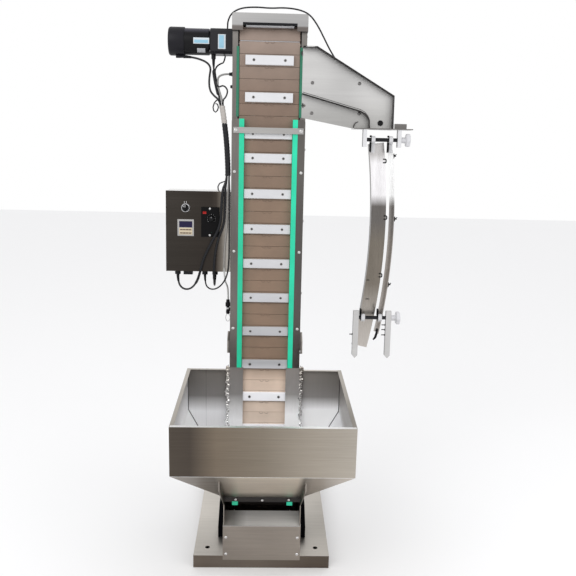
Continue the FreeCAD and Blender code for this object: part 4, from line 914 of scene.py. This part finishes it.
for number, x in ((1, -269), (0, -262.5)):
    Gather("selector_tick_%d" % number, mark_white).plate(
        (x, PANEL_V - 0.2, 1054.5), (1.6, 5.5, 0.5), 0.15).finish()
handle = Gather("selector_handle", knob_black, "selector")
handle.lathe((SELECTOR_X, PANEL_V - 4.2, SELECTOR_W), FRONT,
             solid((0, 3), (2, 3), (2, 11), (5.2, 11), (6, 10.2)), 32)
handle.plate((SELECTOR_X, PANEL_V - 13.2, SELECTOR_W + 1.5), (6, 23, 8), 1.6)
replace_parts(handle.finish(), "selector_knob")
pointer = Gather("selector_pointer", mark_white, "selector")
pointer.plate((-270.5, PANEL_V - 10.4, 1041), (1.8, 7.5, 0.5), 0.2, UP - ACROSS)
pointer.plate((SELECTOR_X, PANEL_V - 17.3, 1043), (1.4, 9, 0.4), 0.15).finish()
dial = Gather("speed_dial_knob", knob_black, "speed_dial")
dial.lathe((DIAL_X, PANEL_V - 4.2, DIAL_W), FRONT,
           solid((0, 3), (1, 3), (1, 9), (9.5, 8.4), (11.4, 7.8), (12, 6.8)), 36, (18, 0.07))
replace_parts(dial.finish(), "speed_knob")
marks = Gather("dial_marks", mark_white)
for i in range(DIAL_MARKS):
    angle = math.radians(225 - 27 * i)
    across, up = math.cos(angle), math.sin(angle)
    marks.plate((DIAL_X + DIAL_REACH * across, PANEL_V - 4.1, DIAL_W + DIAL_REACH * up),
                (0.5, 2.6 if i % 5 == 0 else 1.5, 0.25), 0, ACROSS * across + UP * up)
marks.finish()
Gather("dial_pointer", mark_white, "speed_dial").plate(
    (DIAL_X, PANEL_V - 16.3, DIAL_W + 4.5), (0.9, 4.5, 0.3), 0.1).finish()
unit = Gather("speed_unit_screws", screw_and_highlight_steel)
for w in (1035, 948.5):
    unit.screw((-185.5, PANEL_V - 4, w), FRONT, 3.6, 2.4)
unit.finish()

# Sensor in the chute: a threaded barrel with its nut, and a black face
SENSOR_X = 358.8
SENSOR_V = -75.15
SENSOR_W = 1319.5
thread = [pair for k in range(15) for pair in ((12 + 2 * k, 8.7), (13 + 2 * k, 8.1))]
barrel = Gather("sensor_barrel", sensor_steel)
barrel.lathe((SENSOR_X, SENSOR_V, SENSOR_W), BACK,
             solid((0, 7.9), (0.6, 8.7), *thread, (42, 8.2), (46, 7.6), (54, 5.6)), 32)
barrel.lathe((SENSOR_X, SENSOR_V + 6, SENSOR_W), BACK,
             [(0, 8.7), (0, 14.8), (5, 14.8), (5, 8.7)], 6)
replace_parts(barrel.finish(), "sensor")
Gather("sensor_face", knob_black).lathe(
    (SENSOR_X, SENSOR_V, SENSOR_W), FRONT,
    [(0, 8.6), (0.5, 8.2), (0.6, 4), (0.3, 3.4), (0.3, 2), (0.5, 1.4), (0.5, 0)], 32).finish()

# Hand knobs on the rods: a hub and a disc with shallow lobes
KNOB = solid((0, 8.4), (1, 9), (11, 9), (12.8, 10.4), (14.2, 15), (15, 19.6), (16.5, 21.6),
             (18.5, 22), (24.5, 22), (26.6, 21), (28, 18.4), (28, 9.5), (27, 8.6))
for name, x, w in (("upper", 421.3, 1266), ("lower", 416.3, 689)):
    knob = Gather("hand_knob_" + name, white_knob_and_highlight, name + "_knob")
    knob.lathe((x, -111, w), ACROSS, KNOB, 72, (6, 0.10))
    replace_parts(knob.finish(), "knob_" + name)


def bow_edge(radius, w):
    """X of a curved rail's edge at a height up the column."""
    return -1560 + math.sqrt(radius ** 2 - (w - 1000) ** 2)


# Small spacing clips and screws along the rails, and the black stop at the right rail's foot
LEFT_BOW = 1950
RIGHT_BOW = 1973
clips = Gather("left_rail_clips", knob_black, "left_rail")
for w in (1200, 1017, 825):
    x = bow_edge(LEFT_BOW, w)
    clips.wire([(x - 7, -73.8, w + 5.5), (x + 1.2, -74.6, w + 5.5), (x + 2.6, -75, w + 4),
                    (x + 2.6, -75, w - 4), (x + 1.2, -74.6, w - 5.5), (x - 7, -73.8, w - 5.5)],
               2.1, 8)
for x, w in ((340, 744), (338, 808)):
    clips.wire([(x - 7, -73.6, w), (x, -74.2, w + 0.5), (x + 7, -73.6, w)], 1.6, 8, 0.5)
clips.finish()
studs = Gather("right_rail_studs", knob_black, "right_rail")
for w in (1216, 1014, 796):
    x = bow_edge(RIGHT_BOW, w)
    studs.lathe((x, -86, w), ACROSS, solid((0, 4), (2.6, 4), (2.6, 1.8), (11, 1.8)))
    studs.wire([(x + 3, -88, w + 8), (x + 5, -88, w), (x + 2, -88, w - 8)], 1.9)
    studs.wire([(x + 5, -88, w + 1), (x + 12, -88, w + 6)], 1.5)
studs.finish()
# Black blocks on the left of each white rail clamp, above and below the rods
for body, upper_x, lower_x in (("left_rail", 323.9, 313.7), ("right_rail", 380.1, 369.7)):
    dark_blocks = Gather(body + "_clamp_dark_blocks", clamp_block_black, body)
    for x, w, tall in ((upper_x, 1276.6, 6), (upper_x, 1243, 30), (lower_x, 708, 22)):
        dark_blocks.plate((x, -113, w), (4.5, tall, 18), 1)
    dark_blocks.finish()
Gather("right_rail_stop", rubber_and_shade_dark, "right_rail").wire(
    [(376, -78, 642), (375, -78.5, 628), (371, -79, 614), (364, -79, 606)], 4.2, 12, 0.6).finish()
pins = Gather("fork_screws", screw_and_shade_dark)
for x, w, long in ((398, 664, 12), (398, 648, 12), (398, 630, 12), (290, 631, 10)):
    pins.lathe((x, -108, w), -ACROSS, solid((0, 3.2), (2, 3.2), (2, 1.7), (long, 1.7)))
pins.finish()

# Air line: fittings in the column's side and the drain valve, with a thin pull ring below it
VALVE_X = -127.5
VALVE_V = -25
air = Gather("air_valve", rubber_and_shade_dark)
air.lathe((-COLUMN_HALF, -30, 1464), -ACROSS,
          solid((0, 6.8), (4, 6.8), (4, 5.6), (11, 5.2), (12, 4.4)), 20)
air.lathe((-COLUMN_HALF, -30, 1425), -ACROSS, solid((0, 5.6), (3, 5.6), (7, 4.6), (8, 3.6)))
air.lathe((-COLUMN_HALF, VALVE_V, 692), -ACROSS, solid((0, 6.4), (8, 6.4)))
air.lathe((VALVE_X, VALVE_V, 676), UP,
          solid((0, 5), (2, 6.4), (12, 6.6), (13, 5.2), (25, 5.2), (26, 8.4), (39, 8.6),
                (40, 6.2), (47, 6), (50, 4.6)), 24)
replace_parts(air.finish(), "air_fittings")
pull = Gather("air_valve_ring", mark_white)
pull.lathe((VALVE_X, VALVE_V, 693), UP, [(0, 5.3), (0, 6.2), (5, 6.2), (5, 5.3)], 24)
pull.wire([(VALVE_X + 7.5 * math.sin(turn), VALVE_V, 663 + 13 * math.cos(turn))
           for turn in (math.pi * k / 8 for k in range(17))], 1.1, 8).finish()

# Cable glands under the box: a clamping nut on each lead
GLAND_V = -20
nuts = Gather("gland_nuts", rubber_and_shade_dark)
for x in (-297, -206, -172):
    nuts.lathe((x, GLAND_V, 826), -UP, solid((0, 10), (1, 10.6), (5, 10.6), (6, 9.6)), 6)
    nuts.lathe((x, GLAND_V, 820), -UP, solid((0, 8.6), (7, 8.6), (10, 7)), 20)
nuts.finish()
Gather("power_socket_rim", rubber_and_shade_dark).block((-262, GLAND_V, 812), -UP, (26, 20, 5), BACK, 1.2).finish()


# Tapered strain reliefs, black wraps on two leads, and the sleeves round the bundle
END_TAPER = 1.6


def stretch_of(name, start, long):
    """Points of a cord's line from one of its ends, over so many millimetres."""
    points = LINES[name] if start == "first" else LINES[name][::-1]
    found = [points[0]]
    run = 0.0
    for before, after in zip(points, points[1:]):
        run += (after - before).length / MM
        found.append(after)
        if run > long:
            break
    return found


def reliefs(name, first, last):
    """A taper on each end of a cord, of the two given lengths."""
    thin = THICK[name] / 2 + 0.5
    made = []
    for start, long in (("first", first), ("last", last)):
        points = stretch_of(name, start, long)
        radii = [thin + END_TAPER * (1 - k / (len(points) - 1)) for k in range(len(points))]
        made.append(Gather("%s_relief_%s" % (name, start), rubber_and_shade_dark).wrap(points, radii).finish())
    return made


def wrapped(name, high, low, radius, kind="wrap"):
    """A wrap on a cord's first run between two heights."""
    points = [point for point in LINES[name] if low <= local(point)[2] <= high]
    jump = next((k for k, (a, b) in enumerate(zip(points, points[1:])) if (b - a).length > 0.03),
                len(points))
    points = points[:jump + 1]
    radii = [radius - (END_TAPER if k in (0, len(points) - 1) else 0) for k in range(len(points))]
    return Gather("%s_%s" % (name, kind), sleeve_black).wrap(points, radii).finish()


def place_at(name, w):
    """X and v of a cord's line at a height inside the bundle."""
    places = [local(point) for point in LINES[name]]
    for (x1, v1, w1), (x2, v2, w2) in zip(places, places[1:]):
        if w1 >= w >= w2 and w1 > w2 and abs(x1 + 138) < 24 and v1 < -60:
            t = (w1 - w) / (w1 - w2)
            return x1 + (x2 - x1) * t, v1 + (v2 - v1) * t
    raise ValueError("%s isn't in the bundle at %s" % (name, w))


def sleeve(name, low, high, material, turns):
    """A wrap round the bundle, with a low spiral ridge, as tight as the leads let it be."""
    body = Gather(name, material)
    steps = 90
    sides = 24
    rings = []
    for i in range(steps + 1):
        w = high + (low - high) * i / steps
        places = {lead: place_at(lead, w) for lead in ROUTES}
        x = sum(place[0] for place in places.values()) / 4
        v = sum(place[1] for place in places.values()) / 4
        radius = max(math.hypot(place[0] - x, place[1] - v) + THICK[lead] / 2
                     for lead, place in places.items()) + 0.3
        ring = []
        for k in range(sides):
            angle = 2 * math.pi * k / sides
            ridge = 0.5 * math.sin(angle + 2 * math.pi * turns * i / steps)
            reach = (radius + max(ridge, -0.2)) * MM
            ring.append(body.mesh.verts.new(column(x, v, w) + ACROSS * reach * math.cos(angle)
                                            + BACK * reach * math.sin(angle)))
        rings.append(ring)
    return body.tube(rings, sides).finish()


def tie(name, *places):
    """A thin loop standing off the bundle: the free end of a cable tie."""
    return Gather(name, cord_black).wire(places, 2.1, 8, 0.7).finish()


on_cord = {
    "motor_lead": reliefs("motor_lead", 24, 24) + [
        tie("tie_upper", (-158, -80, 1380), (-166, -80, 1378), (-173, -80, 1370), (-177, -80, 1357),
            (-175, -80, 1346), (-169, -80, 1341), (-163, -80, 1347), (-160, -80, 1357),
            (-163, -80, 1366), (-170, -80, 1368)),
        tie("tie_lower", (-138, -82, 1124), (-147, -82, 1121), (-155, -82, 1117), (-160, -82, 1107),
            (-159, -82, 1097), (-155, -82, 1091)),
        wrapped("motor_lead", 1112, 785, 4.2, "jacket"),
        sleeve("bundle_sleeve_pale", 1308, 1362, sleeve_pale, 5),
        sleeve("bundle_sleeve_black", 1142, 1306, sleeve_black, 16)],
    "gearbox_lead": reliefs("gearbox_lead", 22, 20) + [
        wrapped("gearbox_lead", 1478, 1396, 6.0),
        wrapped("gearbox_lead", 1104, 800, 3.9, "jacket")],
    "sensor_lead": reliefs("sensor_lead", 22, 22),
    "air_tube": [],
}


# Surroundings: a plain pale floor and soft studio light
def pale_floor():
    mesh = bmesh.new()
    bmesh.ops.create_grid(mesh, x_segments=1, y_segments=1, size=9)
    data = bpy.data.meshes.new("studio_floor")
    mesh.to_mesh(data)
    mesh.free()
    data.materials.append(Nodes("studio_floor").set(Base_Color=(0.95, 0.95, 0.95, 1), Roughness=0.9))
    piece = new_object("studio_floor", data)
    piece.location = (0, 0, -0.0005)


def hang_lamp(data, place, aim_at):
    lamp = new_object(data.name, data)
    lamp.location = place
    lamp.rotation_euler = (Vector(aim_at) - Vector(place)).to_track_quat("-Z", "Y").to_euler()


def soft_light(name, place, side, power):
    """A square lamp aimed at the machine's middle."""
    data = bpy.data.lights.new(name, "AREA")
    data.size = side
    data.energy = power
    hang_lamp(data, place, (0, 0, 0.9))


def hopper_spot():
    """A narrow soft light from above into the open hopper."""
    data = bpy.data.lights.new("hopper_spot", "SPOT")
    data.energy = 20
    data.spot_size = math.radians(15)
    data.spot_blend = 0.6
    data.shadow_soft_size = 0.12
    hang_lamp(data, (0.06, -1.10, 2.2), (-0.02, -0.05, 0.48))


def studio_world():
    """Pale light all round, which the camera, reflections and glass see as plain white."""
    world = bpy.data.worlds.new("studio")
    bpy.context.scene.world = world
    world.use_nodes = True
    tree = world.node_tree
    background = tree.nodes["Background"]
    background.inputs["Color"].default_value = (0.92, 0.92, 0.93, 1)
    seen = tree.nodes.new("ShaderNodeBackground")
    seen.inputs["Color"].default_value = (1, 1, 1, 1)
    rays = tree.nodes.new("ShaderNodeLightPath")
    any_of = rays.outputs["Is Camera Ray"]
    for kind in ("Is Glossy Ray", "Is Transmission Ray"):
        either = tree.nodes.new("ShaderNodeMath")
        either.operation = "MAXIMUM"
        tree.links.new(any_of, either.inputs[0])
        tree.links.new(rays.outputs[kind], either.inputs[1])
        any_of = either.outputs[0]
    mix = tree.nodes.new("ShaderNodeMixShader")
    tree.links.new(any_of, mix.inputs[0])
    tree.links.new(background.outputs[0], mix.inputs[1])
    tree.links.new(seen.outputs[0], mix.inputs[2])
    tree.links.new(mix.outputs[0], tree.nodes["World Output"].inputs["Surface"])


pale_floor()
studio_world()
soft_light("key", (-1.8, -2.6, 3.2), 2.4, 44)
soft_light("fill", (2.6, -2.0, 2.4), 2.0, 20)
hopper_spot()
